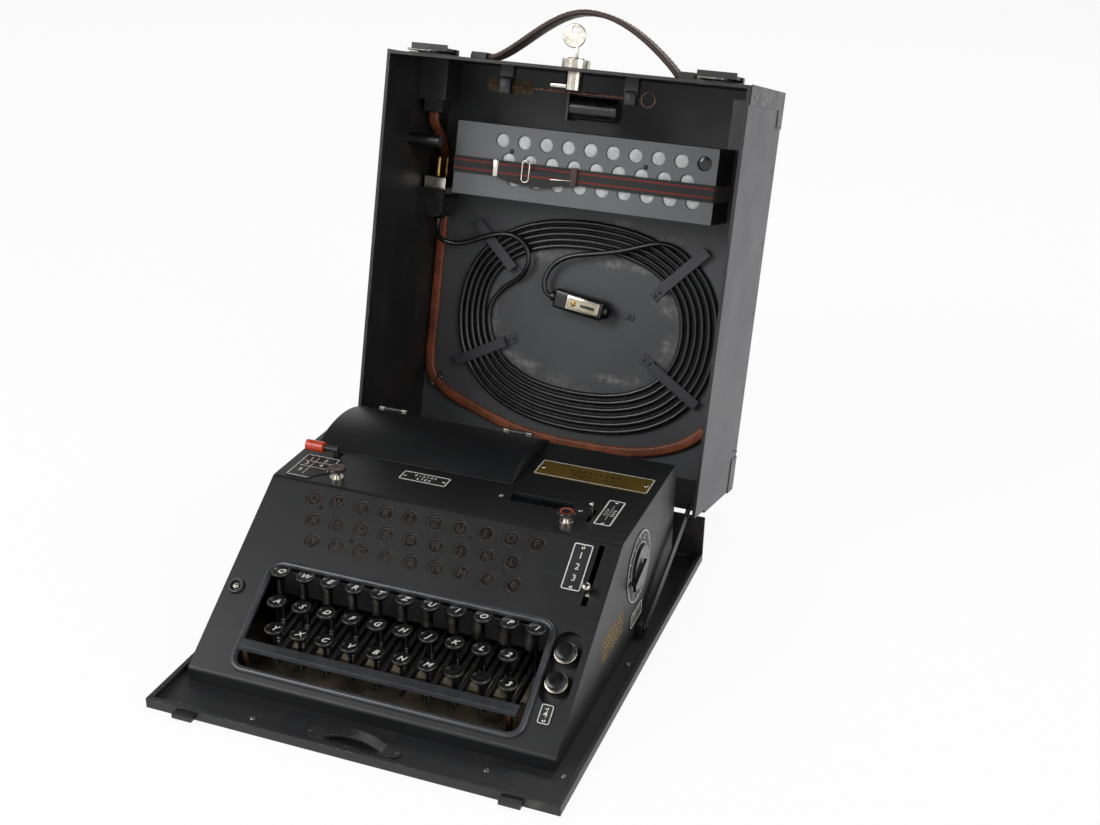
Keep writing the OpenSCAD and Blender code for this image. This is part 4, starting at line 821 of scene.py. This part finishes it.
# ---- mains plug and cable connector ----
plug = {"at": (-148, -243, 111), "pinGap": 9.5}
px, py, pz = plug["at"]
body = painted(block((24, 21, 35), (px, py + 8.4, pz), edge=3.2, segments=4), plastics["bakelite"])
neck = painted(turned([(0, 0), (4.2, 0), (5.4, 1), (7.5, 5), (9, 8), (9, 9), (0, 9)], 32, (px, py + 22, pz),
                      (math.pi / 2, 0, 0)), plastics["bakelite"])
face = painted(block((23, 16.4, 34), (px, py - 10.6, pz), edge=1.6, segments=3), metals["nickel"])
groove = painted(block((20, 2, 31), (px, py - 2.2, pz), edge=0.4), plastics["bakelite"])
pins = []
for side in (-1, 1):
    pins.append(painted(turned([(0, 0), (2.4, 0), (2.4, 15.6), (2.2, 17.4), (1.5, 18.6), (0, 19)], 24,
                               (px, py - 18.9, pz + side * plug["pinGap"]), (math.pi / 2, 0, 0)),
                               metals["brass"]))
plugPiece = joined(body, neck, face, groove, *pins)
socketBody = painted(block((51, 18.8, 16.6), (-2, 0, 0.5), edge=3, segments=4), plastics["bakelite"])
socketNeck = painted(turned([(0, 0), (7.4, 0), (7.2, 1.5), (5.4, 4), (4, 5), (0, 5)], 32, (24, 0, 0),
                            (0, math.pi / 2, 0)), plastics["bakelite"])
insert = painted(block((33, 13.4, 1), (3, 0, -8.1), edge=0.4), metals["nickel"])
# a near-black bar standing in for the connector's slot: painted shade
insertSlotShade = painted(block((14, 2.6, 0.5), (8, 0, -8.9), edge=0.2), plastics["darkGlassAndSlotShade"])
button = painted(turned([(0, 0.6), (2, 0.6), (2.6, 0.2), (2.6, -1), (0, -1)], 24, (-6, 0, -9),
                        (math.pi, 0, 0)), metals["brass"])
shade = painted(block((29, 9.6, 0.4), (3, 0, -8.6), edge=0.15), plastics["ivory"])
collarRing = painted(turned([(3, 0), (4.6, 0), (4.9, 0.8), (4.9, 4), (4.4, 5), (3, 5), (3, 0)], 28,
                            (-31.5, -0.2, 0), (0, math.pi / 2, 0)), plastics["rubber"])
connector = joined(socketBody, socketNeck, insert, insertSlotShade, button, shade, collarRing)
connector.matrix_world = Matrix.Translation((-1, -156, 132.5)) @ Matrix.Rotation(math.radians(8), 4, "Z")
ends = settle(joined(plugPiece, connector), "cableEnds", "cover", None, coverPlace)
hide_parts("cable_ends")
print("plug and connector done")

# ---- brush: two wires twisted round each other, bristles at one end, a ring at the other ----
brush = {"at": (-7, -351, 50), "length": 156, "bristled": 44, "reach": 7.1, "rows": 40, "round": 11,
         "jaws": ((-60, 15), (56, 12.4))}
half = brush["length"] / 2
wires = []
for phase in (0, math.pi):
    turns = [(-half + 1.5 * i, 0.72 * math.cos(phase + 0.95 * i), 0.72 * math.sin(phase + 0.95 * i))
             for i in range(95)]
    wires.append(painted(drawn(turns, radius=0.72, sides=1, between=2), metals["copper"]))
ringPath = [(half - 7 + 6.3 * math.cos(a), 6.3 * math.sin(a), 0)
            for a in (2 * math.pi * i / 24 for i in range(24))]
wires.append(painted(drawn(ringPath, radius=0.7, closed=True, sides=2, between=1), metals["copper"]))
bristle = turned([(0.02, 1.2), (0.16, 1.2), (0.12, 7), (0, brush["reach"])], 3)
places = []
for i in range(brush["rows"]):
    for k in range(brush["round"]):
        angle = 2 * math.pi * (k / brush["round"] + i * 0.137) + random.uniform(-0.12, 0.12)
        lean = random.uniform(-0.14, 0.14)
        places.append(Matrix.Translation((-half + 2 + (brush["bristled"] - 3) * i / brush["rows"], 0, 0))
                      @ Matrix.Rotation(angle, 4, "X") @ Matrix.Rotation(lean, 4, "Y")
                      @ Matrix.Scale(random.uniform(0.9, 1), 4))
bristles = painted(repeated(bristle, places), metals["agedBrass"])
brushPiece = joined(*wires, bristles)
brushPiece.matrix_world = Matrix.Translation(brush["at"]) @ brushPiece.matrix_world
brushPiece = settle(brushPiece, "wireBrush", "cover", None, coverPlace, smooth=60)
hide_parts("cleaning_brush")
# two pressed clips grip it from the cover's top wall
bx, by, bz = brush["at"]
jaws = [block((11, reach, reach), (bx + x, by, bz), edge=2) for x, reach in brush["jaws"]]
settle(joined(*jaws), "brushClipJaws", "cover", paints["fitting"], coverPlace)
print("brush done:", len(brushPiece.data.polygons), "faces")

# ---- lock with its key ----
lock = {"at": (0, -370.5, 36), "bowX": -4, "bowRise": 28}
barrel = painted(turned([(0, -18), (7.9, -18), (7.95, 8.6), (7.3, 9.4), (6.6, 9.5), (6.4, 9.1), (2.4, 9.1),
                         (2.2, 8.2), (0, 8.2)], 40), metals["nickel"])
cam = painted(block((24, 11, 3.8), (-8, 0, -15), edge=0.8), metals["nickel"])
shank = painted(block((2.3, 2.3, 12), (0, 0, 14), edge=0.3), metals["nickel"])
bowRing = turned([(0, -1.15), (9.9, -1.15), (10.4, -0.7), (10.4, 0.7), (9.9, 1.15), (0, 1.15)], 40,
                 (lock["bowX"], 0, lock["bowRise"]), (math.pi / 2, 0, 0))
hole = turned([(0, -4), (2.9, -4), (2.9, 4), (0, 4)], 24, (lock["bowX"], 0, lock["bowRise"] + 5),
              (math.pi / 2, 0, 0))
activate(bowRing)
cut = bowRing.modifiers.new("hole", "BOOLEAN")
cut.object = hole
cut.operation = "DIFFERENCE"
bpy.ops.object.modifier_apply(modifier=cut.name)
bpy.data.objects.remove(hole)
painted(bowRing, metals["nickel"])
rimRing = painted(drawn([(lock["bowX"] + 8.6 * math.cos(a), 0, lock["bowRise"] + 8.6 * math.sin(a))
                         for a in (2 * math.pi * i / 32 for i in range(32))],
                        radius=0.55, closed=True, sides=2, between=1), metals["nickel"])
lockPiece = joined(barrel, cam, shank, bowRing, rimRing)
lockPiece.matrix_world = Matrix.Translation(lock["at"]) @ Matrix.Rotation(math.pi / 2, 4, "X")
lockPiece = settle(lockPiece, "caseLock", "case_lock", None, coverPlace)
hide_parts("case_lock")
print("lock done")

# ---- machine housing and what is fixed to it ----
fromCad("housing", "case_base", paints["housing"], edge=0.35)


def slopeRegion(x, u, off):
    return lambda p: all(lo <= q <= hi for q, (lo, hi) in zip(onSlope(p), (x, u, off)))


def deckRegion(x, d, off):
    return lambda p: all(lo <= q <= hi for q, (lo, hi) in zip(onDeck(p), (x, d, off)))


fromCad("panel_fittings", "case_base", paints["crackle"], edge=0.12, regions=[
    (paints["bead"], slopeRegion((-146, -133), (65, 78), (-6, 4))),
    (metals["blued"], slopeRegion((-116, 80), (127, 153), (0, 2))),
    (metals["nickel"], slopeRegion((112, 140), (20, 168), (0.75, 2))),
    (metals["nickel"], deckRegion((-105, -91), (5, 18), (0, 4))),
    (metals["nickel"], deckRegion((92, 106), (8, 21), (0, 4))),
    (metals["nickel"], deckRegion((-60, 144), (18, 110), (0.72, 2.2))),
    (plastics["ochrePlate"], deckRegion((44, 144), (83, 110), (-0.1, 0.805))),
    (plastics["darkGlassAndSlotShade"], deckRegion((38, 100), (30, 52), (-2.4, -1.4))),
    (metals["steel"], lambda p: p.y > 0.1424),
    (metals["nickel"], deckRegion((30, 110), (34, 42), (0.01, 1.2)))])
fromCad("lamp_panel", "case_base", plastics["window"], edge=0.15)
chassisRegions = [
    (metals["dustyPlate"], lambda p: p.z < 0.0047),
    # this part takes the bead's lighter paint, a painted highlight
    (paints["bead"], lambda p: -0.132 < p.y < -0.1195 and p.z > 0.0304),
    (metals["copper"], lambda p: -0.132 < p.y < -0.1195 and p.z <= 0.0304),
    (paints["fitting"], lambda p: -0.066 < p.y < -0.0605 and 0.044 < p.z < 0.066),
    (metals["copper"], slopeRegion((-119, 119), (111, 170), (-24.5, -21.9))),
    (plastics["frosted"], slopeRegion((-119, 119), (111, 170), (-21.9, -7))),
    (metals["copper"], lambda p: 0.06 < p.x < 0.131 and p.y > 0.079 and 0.012 < p.z < 0.044),
    (paints["fitting"], lambda p: 0.068 < p.x < 0.122 and p.y > 0.07 and p.z < 0.052)]
fromCad("chassis", "case_base", metals["steel"], edge=0, regions=chassisRegions)

# keyboard surround: a rolled half-round bead
surround = {"width": 237, "length": 90, "corner": 11, "middle": 53.5, "radius": 2.85}
beadPath = [(1 + a, surround["middle"] + b, 0)
            for a, b in roundedOutline(surround["width"], surround["length"], surround["corner"], 8)]
# the bead's paint is lighter, a painted highlight along it
settle(drawn(beadPath, radius=surround["radius"], closed=True, smooth=False, sides=6), "keyboardBead",
       "case_base", paints["bead"], slopePlace, smooth=60)
# pale pressboard strip across the floor, behind the rear row's stems
settle(block((207, 19, 13), (3.5, -70.5, 11.2), edge=0.8), "pressboardStrip", "case_base",
       plastics["ivory"])
# brass eyelet round each vent hole of both sides
vents = {"firstY": -44, "pitch": 5.1, "columns": 10, "lowZ": 32, "rise": 5.6, "rows": 4}
eyelet = turned([(1.55, 0), (2.1, 0), (2.0, 0.2), (1.6, 0.2), (1.55, 0)], 16)
spots = [Matrix.Translation((machine["middleX"] + side * machine["halfWidth"],
                             vents["firstY"] + vents["pitch"] * c, vents["lowZ"] + vents["rise"] * r))
         @ Matrix.Rotation(side * math.pi / 2, 4, "Y")
         for side in (-1, 1) for c in range(vents["columns"]) for r in range(vents["rows"])]
settle(repeated(eyelet, spots), "ventEyelets", "case_base", metals["brass"])
# plug pin in the spare socket
pin = painted(turned([(0, -1), (2.6, -1), (2.6, 1.9), (2.1, 2.5), (0, 2.5)], 28, (-139.4, 71.7, 0)),
              metals["nickel"])
# a near-black strip standing in for the pin's slot: painted shade
pinSlotShade = painted(block((4.2, 0.7, 0.3), (-139.4, 71.7, 2.45), edge=0), plastics["darkGlassAndSlotShade"])
settle(joined(pin, pinSlotShade), "socketPin", "case_base", None, slopePlace)

# rotor cover: an arched pressing whose ends are drawn round, with two hinge eyes at the back
arch = {"halfWidth": 90.5, "middleX": -57, "frontY": 53.5, "depth": 89, "rise": 12, "endRound": 4,
        "sheet": 1.2, "lift": 0.3}
archRadius = (arch["depth"] ** 2 / 4 + arch["rise"] ** 2) / (2 * arch["rise"])
endSteps = [(arch["halfWidth"] - arch["endRound"] * (1 - math.sin(a)), math.cos(a))
            for a in (math.pi / 2 * i / 7 for i in range(7, -1, -1))]
columns = [(-x, f) for x, f in endSteps] + [(x, f) for x, f in reversed(endSteps)]
rows = 40
verts = []
for x, fall in columns:
    for i in range(rows + 1):
        y = -arch["depth"] / 2 + arch["depth"] * i / rows
        z = arch["rise"] - archRadius + math.sqrt(archRadius ** 2 - y * y)
        verts.append((arch["middleX"] + x, arch["frontY"] + arch["depth"] / 2 + y,
                      machine["deckZ"] + arch["lift"] + max(0, z - arch["lift"]) * fall))
faces = [(a, a + rows + 1, a + rows + 2, a + 1)
         for c in range(len(columns) - 1) for a in range(c * (rows + 1), c * (rows + 1) + rows)]
mesh = bpy.data.meshes.new("archSheet")
mesh.from_pydata(verts, [], faces)
archSheet = bpy.data.objects.new("archSheet", mesh)
bpy.context.scene.collection.objects.link(archSheet)
useModifier(archSheet, "SOLIDIFY", thickness=arch["sheet"], offset=-1)
painted(archSheet, paints["housing"])
eyes = []
for x in (-60, 60):
    eye = turned([(0.85, -8), (1.7, -8), (1.7, 8), (0.85, 8), (0.85, -8)], 20,
                 (arch["middleX"] + x, 144.7, 114.3), (0, math.pi / 2, 0))
    leaf = block((16, 5, 0.8), (arch["middleX"] + x, 142, 114), edge=0.2)
    eyes += [painted(eye, paints["fitting"]), painted(leaf, paints["fitting"])]
cover = settle(joined(archSheet, *eyes), "rotorCover", "rotor_cover", None, smooth=40)
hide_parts("rotor_cover")

# rotor drum: brass wheels with every second one of bakelite, on a steel shaft
drum = {"x0": -142.5, "pitch": 16.5, "wheel": 13, "y": 97.5, "z": 91, "studs": 26, "studRadius": 21,
        "rim": 28.4}


def onDarkWheel(p):
    middles = [drum["x0"] + drum["pitch"] * k + drum["wheel"] / 2 for k in range(1, 10, 2)]
    return any(abs(p.x * 1000 - x) < 6.6 for x in middles)


fromCad("rotor_drum", "rotor_drum", metals["brass"], edge=0.5, regions=[
    (plastics["bakelite"], onDarkWheel),
    (metals["steel"], lambda p: math.hypot(p.y * 1000 - drum["y"], p.z * 1000 - drum["z"]) < 4.5)])
print("housing done")

# brass contact studs round the end faces, and a steel one for each letter round each rim
drumPlace = Matrix.Translation((drum["x0"], drum["y"], drum["z"]))
roundDrum = [2 * math.pi * i / drum["studs"] for i in range(drum["studs"])]
stud = turned([(0, 0.9), (1.1, 0.9), (1.3, 0.6), (1.3, 0), (0, 0)], 12)
studPlaces = [drumPlace @ Matrix.Translation((drum["pitch"] * k - 0.1, drum["studRadius"] * math.cos(a),
                                              drum["studRadius"] * math.sin(a)))
              @ Matrix.Rotation(-math.pi / 2, 4, "Y") for k in (0, 9) for a in roundDrum]
settle(repeated(stud, studPlaces), "rotorStuds", "rotor_drum", metals["brass"])
notch = turned([(0, 0), (1.6, 0), (1.6, 0.7), (1.2, 1), (0, 1)], 10)
notchPlaces = [drumPlace @ Matrix.Translation((drum["pitch"] * k + drum["wheel"] / 2, 0, 0))
               @ Matrix.Rotation(a, 4, "X") @ Matrix.Translation((0, 0, drum["rim"]))
               for k in range(10) for a in roundDrum]
settle(repeated(notch, notchPlaces), "rotorRimStuds", "rotor_drum", metals["steel"])
print("rotors done")

# ---- keys ----
keyLook = {"pivot": (-20.5, 35), "drop": 9, "rise": 13, "rows": ((11, 88), (10, 63.6), (10, 42.3)),
           "x0": -105, "stagger": 7, "pitch": 21.2, "letterSize": 7.6,
           "letters": ("QWERTZUIOP1", "ASDFGHJKL2", "YXCVBNM  3")}
capProfile = [(0, 0.3), (1.9, 0.3), (2.1, 0), (2.7, 0.15), (3.6, 1.3), (5.8, 3.7), (7.0, 4.8), (7.55, 5.4),
              (7.75, 6.1), (7.62, 6.9), (7.2, 7.4), (6.6, 7.5), (6.05, 7.3), (5.5, 6.98), (4.4, 6.78),
              (2.4, 6.66), (0, 6.6)]
slopeAngle = math.radians(machine["slopeAngle"])
rowNames = ("rear_key_", "middle_key_", "front_key_")
for row, (count, u) in enumerate(keyLook["rows"]):
    capY = machine["frontY"] + u * math.cos(slopeAngle) - keyLook["rise"] * math.sin(slopeAngle)
    capZ = machine["lipZ"] + u * math.sin(slopeAngle) + keyLook["rise"] * math.cos(slopeAngle)
    pivotY, pivotZ = keyLook["pivot"]
    drop = math.radians(keyLook["drop"])
    reach = pivotY - capY
    tipZ = pivotZ - reach * math.tan(drop)
    length = reach / math.cos(drop) + 3
    cap = painted(turned(capProfile, 36, (0, capY, capZ - 7.5)), plastics["bakelite"])
    stem = painted(turned([(0, tipZ + 2), (1.9, tipZ + 2), (1.9, tipZ + 7), (1.45, tipZ + 8),
                           (1.45, capZ - 8.2), (1.7, capZ - 7.2), (0, capZ - 7)],
                          16, (0, capY, 0)), metals["blued"])
    barMiddle = (0, pivotY - length / 2 * math.cos(drop), pivotZ - length / 2 * math.sin(drop))
    bar = painted(block((3, length, 8), barMiddle, edge=0.35, turn=(drop, 0, 0)), paints["lever"])
    foot = painted(block((4, 4.8, 8.8), (0, capY, tipZ + 1.5), edge=0.6), paints["lever"])
    hubProfile = [(3.05, -1.5), (6.7, -1.5), (7, -1.2), (7, 1.2), (6.7, 1.5), (3.05, 1.5), (3.05, -1.5)]
    hub = painted(turned(hubProfile, 32, (0, pivotY, pivotZ), (0, math.pi / 2, 0)), paints["lever"])
    master = joined(cap, stem, bar, foot, hub)
    for n in range(count):
        x = keyLook["x0"] + keyLook["stagger"] * row + keyLook["pitch"] * n
        piece = master.copy()
        piece.data = master.data.copy()
        bpy.context.scene.collection.objects.link(piece)
        piece.matrix_world = Matrix.Translation((x, 0, 0)) @ master.matrix_world
        name = rowNames[row] + str(n + 1)
        settle(piece, name + "_finished", name, None)
        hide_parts(name)
        letter = keyLook["letters"][row][n]
        if letter != " ":
            mark = marked(letter, keyLook["letterSize"], 0.3, slant=0.28, bold=0.12)
            mark.location = (x, capY, capZ - 7.5 + 6.76)
            settle(mark, name + "_letter", name, plastics["whiteFill"])
    bpy.data.objects.remove(master)
print("keys done")

# ---- lamp windows: a dull ring and a faint letter on each ----
lamps = {"rows": ((10, 158.48), (9, 139.98), (9, 121.98)), "x0": -107, "step": 7, "pitch": 21.3,
         "letters": ("QWERTZUIOP", "ASDFGHJKL", "YXCVBNM46")}
ring = turned([(5.6, -0.2), (6.75, -0.2), (6.75, 0.05), (6.5, 0.15), (5.8, 0.15), (5.6, 0), (5.6, -0.2)],
              32)
ringPlaces = []
for row, (count, u) in enumerate(lamps["rows"]):
    for k in range(count):
        x = lamps["x0"] + lamps["step"] * row + lamps["pitch"] * k
        ringPlaces.append(Matrix.Translation((x, u, -0.55)))
        mark = marked(lamps["letters"][row][k], 9.5, 0.12, bold=0.1)
        mark.location = (x, u, -0.55)
        settle(mark, "lampLetter_%d_%d" % (row + 1, k + 1), "case_base", plastics["fadedPrint"], slopePlace)
settle(repeated(ring, ringPlaces), "lampRings", "case_base", plastics["fadedPrint"], slopePlace)
print("lamp windows done")


# ---- label plates: white borders and plain figures ----
sidePlate = (millimetre @ Matrix.Translation((147, 39, 26)) @ Matrix.Rotation(math.pi / 2, 4, "Z")
             @ Matrix.Rotation(math.pi / 2, 4, "X"))


def printedPlate(name, at, size, place, lines=(), texts=(), material=None, border=0.9, inset=0.6,
                 corner=1.6):
    parts = []
    if border:
        outer = roundedOutline(size[0] - 2 * inset, size[1] - 2 * inset, corner)
        inner = roundedOutline(size[0] - 2 * inset - 2 * border, size[1] - 2 * inset - 2 * border,
                               max(0.4, corner - border))
        count = len(outer)
        mesh = bpy.data.meshes.new("frame")
        mesh.from_pydata([(at[0] + x, at[1] + y, 0.82) for x, y in outer + inner], [],
                         [(i, (i + 1) % count, count + (i + 1) % count, count + i) for i in range(count)])
        frameSheet = bpy.data.objects.new("frame", mesh)
        bpy.context.scene.collection.objects.link(frameSheet)
        useModifier(frameSheet, "SOLIDIFY", thickness=0.12)
        parts.append(frameSheet)
    parts += [block((x1 - x0, y1 - y0, 0.12), ((x0 + x1) / 2 + at[0], (y0 + y1) / 2 + at[1], 0.76), edge=0)
              for x0, x1, y0, y1 in lines]
    for text, textSize, x, y, turn in texts:
        mark = marked(text, textSize, 0.12, bold=0.06)
        mark.location = (at[0] + x, at[1] + y, 0.76)
        mark.rotation_euler = (0, 0, turn)
        parts.append(mark)
    return settle(joined(*parts), name, "case_base", material or plastics["whiteFill"], place)


printedPlate("selectorFigures", (121.2, 146.3), (16.4, 40), slopePlace,
             texts=(("1", 7.6, 0, 9.5, 0), ("2", 7.6, 0, 0, 0), ("3", 7.6, 0, -9.5, 0)))
printedPlate("lowerFigure", (132.8, 30), (10.5, 16), slopePlace, texts=(("4", 7, 0, 0, 0),), border=0.7)
leftLines = ((-14.9, 14.9, 18.2, 18.9), (-14.9, -14.2, -18.9, 18.9), (14.2, 14.9, -5, 18.9),
             (-14.9, 5, -18.9, -18.2), (-12, 12, 8, 8.5), (-12, 12, -1, -0.5), (-3, -2.5, -15, 16))
printedPlate("leftLabelFrame", (-126, 23.5), (32, 40), deckPlace, lines=leftLines, border=0,
             texts=(("1", 6.4, -8, 12.6, 0), ("2", 6.4, 5, 12.6, 0), ("3", 6.4, -8, 3.6, 0),
                    ("4", 6.4, 5, 3.6, 0), ("5", 6.4, -8, -8, 0)))
printedPlate("leftLabelLines", (-126, 23.5), (32, 40), deckPlace, border=0, material=plastics["darkRed"],
             lines=((-11, -5.5, 6.2, 7.2), (0, 9, 6.2, 7.2), (-11, -5.5, -3, -2.2)))
printedPlate("centreLabelFigures", (-32.5, 39.3), (42.5, 15.5), deckPlace,
             texts=(("0 1 2 3 4 5", 4.4, 0, 2.4, 0), ("6 7 8 9", 4.4, 0, -2.8, 0)))
printedPlate("rightLabelFigures", (125.5, 42), (15, 42.5), deckPlace, lines=((-0.2, 0.2, -12, 12),),
             border=1.1,
             texts=(("1 2 3 4", 3.9, -2.8, 0, math.pi / 2), ("5 6 7 8", 3.9, 3.2, 0, math.pi / 2)))
printedPlate("deckPlateBorder", (94, 96.5), (98, 26), deckPlace, border=0.7, inset=0.5)
printedPlate("deckPlateFigures", (94, 96.5), (98, 26), deckPlace, material=plastics["darkGlassAndSlotShade"], border=0,
             lines=((-34, 34, -9, -8.5), (-34, 34, 8.4, 8.9)),
             texts=(("1 2 3 4 5 6 7 8 9", 6.4, 0, 3, 0), ("10 11 12 13 14 15", 5.2, 0, -4.4, 0)))
printedPlate("sidePlateFrame", (0, 0), (30, 13), sidePlate, border=0.9, inset=0.3)
printedPlate("sidePlateFace", (0, 0), (30, 13), sidePlate, material=metals["steel"], border=0,
             lines=((-11, 11, -3.6, 3.6),))
print("labels done")

# ---- plungers, selector knob, terminals ----
plungerLook = {"left": {"at": (-98, 11.5, 0), "lip": 5.6, "dish": (5.2, 10.4), "ring": (3.6, 5, 10.8),
                        "colour": "darkRed"},
               "right": {"at": (99, 14.5, 0), "lip": 5.4, "dish": (5.1, 10.5), "ring": (4.2, 5.2, 10.75),
                         "colour": "redLacquer"}}


def plungerPiece(look):
    capProfile = [(0, 8), (5.6, 8), (6.6, 8.3), (7.6, 9.2), (7.6, 10.2), (7.0, 10.9), (look["lip"], 11),
                  (look["dish"][0], 10.6), (0, look["dish"][1])]
    inner, outer, top = look["ring"]
    ringProfile = [(inner, 10.4), (outer, 10.4), (outer, top), (inner, top), (inner, 10.4)]
    piece = joined(painted(turned(capProfile, 40), plastics["bakelite"]),
                   painted(turned(ringProfile, 36), plastics[look["colour"]]),
                   painted(turned([(0, -12), (2.8, -12), (2.8, 8), (0, 8)], 24), metals["nickel"]))
    piece.location = look["at"]
    return piece


piece = settle(plungerPiece(plungerLook["left"]), "leftPlunger", "left_plunger", None, deckPlace)
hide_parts("left_plunger")
piece = settle(plungerPiece(plungerLook["right"]), "rightPlunger", "right_plunger", None, deckPlace)
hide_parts("right_plunger")


def knurled(piece, least, depth, teeth):
    # every other column of the rim stands back, as on a knurled nut
    for v in piece.data.vertices:
        r = math.hypot(v.co.x, v.co.y)
        if r > least:
            column = round(math.atan2(v.co.y, v.co.x) / (math.pi / teeth))
            if column % 2:
                v.co.x *= 1 - depth / r
                v.co.y *= 1 - depth / r
    return piece


for n, (name, u) in enumerate((("upper_terminal", 78), ("lower_terminal", 54.6))):
    screwPart = painted(turned([(0, -15), (2.5, -15), (2.5, 2), (0, 2)], 20), metals["brass"])
    nut = painted(knurled(turned([(0, -6.6), (8.5, -6.6), (9.1, -6), (9.1, 1.4), (8.6, 2.1), (7, 2.3),
                                  (0, 2.3)], 72), 8.5, 0.35, 36), metals["nickel"])
    head = painted(knurled(turned([(0, 2.3), (6.9, 2.3), (7.4, 2.9), (7.4, 6.0), (6.8, 6.9), (5.4, 7.2),
                                   (3, 7.3), (0, 7.3)], 72), 6.8, 0.3, 36), plastics["bakelite"])
    piece = joined(screwPart, nut, head)
    piece.location = (133.3, u, 0)
    piece = settle(piece, name + "_finished", name, None, slopePlace)
    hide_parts(name)
stalk = painted(turned([(0, -2.6), (1.8, -2.6), (1.8, 4), (0, 4)], 20), metals["steel"])
shoe = painted(block((10, 7, 1.5), (0, 0, -2.6), edge=0.3), metals["steel"])
knob = painted(knurled(turned([(0, 4), (3, 4), (3.5, 4.6), (3.6, 9), (3.1, 10.4), (2, 11.2), (0, 11.4)],
                              40), 3.2, 0.15, 20), metals["nickel"])
piece = joined(stalk, shoe, knob)
piece.location = (134.8, 129, 0)
piece = settle(piece, "selectorKnob", "power_selector", None, slopePlace)
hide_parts("power_selector")
fromCad("counter_lever", "counter_lever", metals["nickel"], edge=0.3)
fromCad("counter_wheels", "counter_wheels", plastics["bakelite"], edge=0.3)
fromCad("voltage_dial", "voltage_dial", plastics["bakelite"], edge=0.5, segments=3)
fromCad("release_lever", "release_lever", paints["lever"], edge=0.35, segments=3, regions=[
    (plastics["redLacquer"], lambda p: onDeck(p)[0] < -127.4)])
print("controls done")

# ---- ring scale on the right side: ticks and figures ----
dialLook = {"x": 147.7, "y": 40, "z": 70, "radius": 23.4, "rings": (28.7, 19.3), "pointerX": 150.6}
parts = [turned([(r, 0), (r + 0.9, 0), (r + 0.9, 0.13), (r, 0.13), (r, 0)], 64,
                (dialLook["x"] - 0.02, dialLook["y"], dialLook["z"]), (0, math.pi / 2, 0))
                for r in dialLook["rings"]]
for i in range(24):
    a = 2 * math.pi * i / 24
    tick = block((0.14, 0.5 if i % 4 else 0.8, 2.2 if i % 4 else 4), (dialLook["x"], 0, 0), edge=0)
    tick.matrix_world = (Matrix.Translation((0, dialLook["y"], dialLook["z"])) @ Matrix.Rotation(a, 4, "X")
                         @ Matrix.Translation((dialLook["x"], 0, 27)))
    parts.append(tick)
for i in range(6):
    a = 2 * math.pi * (i + 0.5) / 6
    mark = marked(str(i + 1), 5.4, 0.14, bold=0.05)
    mark.matrix_world = (Matrix.Translation((dialLook["x"], dialLook["y"], dialLook["z"]))
                         @ Matrix.Rotation(a, 4, "X")
                         @ Matrix.Translation((0, 0, dialLook["radius"]))
                         @ Matrix.Rotation(math.pi / 2, 4, "Y") @ Matrix.Rotation(math.pi / 2, 4, "Z"))
    parts.append(mark)
settle(joined(*parts), "dialScale", "case_base", plastics["whiteFill"])
pointer = block((0.2, 1.2, 17), (dialLook["pointerX"], dialLook["y"], dialLook["z"]), edge=0)
settle(joined(pointer), "dialPointerLine", "voltage_dial", plastics["whiteFill"])
print("dial done")

# ---- floor, lights, world ----
studio = {"floorSize": 14, "floorGlow": 0.92, "ceiling": 0.06, "rim": 1.0, "diffuse": 0.34}


def seenStraight(tree):
    # whether a ray comes from the camera, a reflection or a clear part
    path = addNode(tree, "LightPath").node.outputs
    seen = addNode(tree, "Math", {}, {0: path["Is Camera Ray"], 1: path["Is Glossy Ray"]},
                   operation="MAXIMUM")
    return addNode(tree, "Math", {}, {0: seen, 1: path["Is Transmission Ray"]}, operation="MAXIMUM")


bpy.ops.mesh.primitive_plane_add(size=studio["floorSize"], location=(0, 0, -0.0005))
floor = bpy.context.object
floor.name = "paleFloor"
# smooth white studio floor, seen as plain white with the shadow kept
mat = bpy.data.materials.new("paintedFloor_white")
mat.use_nodes = True
tree = mat.node_tree
tree.nodes.clear()
shadowed = addNode(tree, "BsdfDiffuse", {"Color": linearRgb("f4f4f4")})
glow = addNode(tree, "Emission", {"Color": (1, 1, 1, 1), "Strength": 1.0})
share = addNode(tree, "Math", {1: studio["floorGlow"]}, {0: seenStraight(tree)}, operation="MULTIPLY")
both = addNode(tree, "MixShader", {}, {0: share, 1: shadowed, 2: glow})
addNode(tree, "OutputMaterial", links={"Surface": both})
floor.data.materials.append(mat)

world = bpy.data.worlds.new("studio")
bpy.context.scene.world = world
world.use_nodes = True
tree = world.node_tree
tree.nodes.clear()
direction = addNode(tree, "TexCoord", out="Generated")
height = addNode(tree, "SeparateXYZ", {}, {0: direction}, "Z")
seenLevel = addNode(tree, "MapRange", {1: 0.3, 2: 0.6, 3: studio["rim"], 4: studio["ceiling"]}, {0: height})
level = addNode(tree, "Mix", {2: studio["diffuse"]}, {0: seenStraight(tree), 3: seenLevel},
                data_type="FLOAT")
sky = addNode(tree, "Background", {"Color": (1, 1, 1, 1)}, {"Strength": level})
addNode(tree, "OutputWorld", links={"Surface": sky})

lampsRound = {"key": ((-1.3, -1.5, 1.7), (1.3, 1.3), 34), "fill": ((1.7, -1.0, 1.2), (1.2, 1.6), 16),
              "rear": ((0.2, 1.6, 1.9), (1.8, 0.8), 16)}
lightsAim = Vector((0, 0, 0.15))
for name, (at, size, power) in lampsRound.items():
    bpy.ops.object.light_add(type="AREA", location=at)
    lamp = bpy.context.object
    lamp.name = name
    lamp.data.shape = "RECTANGLE"
    lamp.data.size, lamp.data.size_y = size
    lamp.data.energy = power
    lamp.rotation_euler = (lightsAim - Vector(at)).to_track_quat("-Z", "Y").to_euler()

bpy.context.scene.view_settings.view_transform = "Standard"
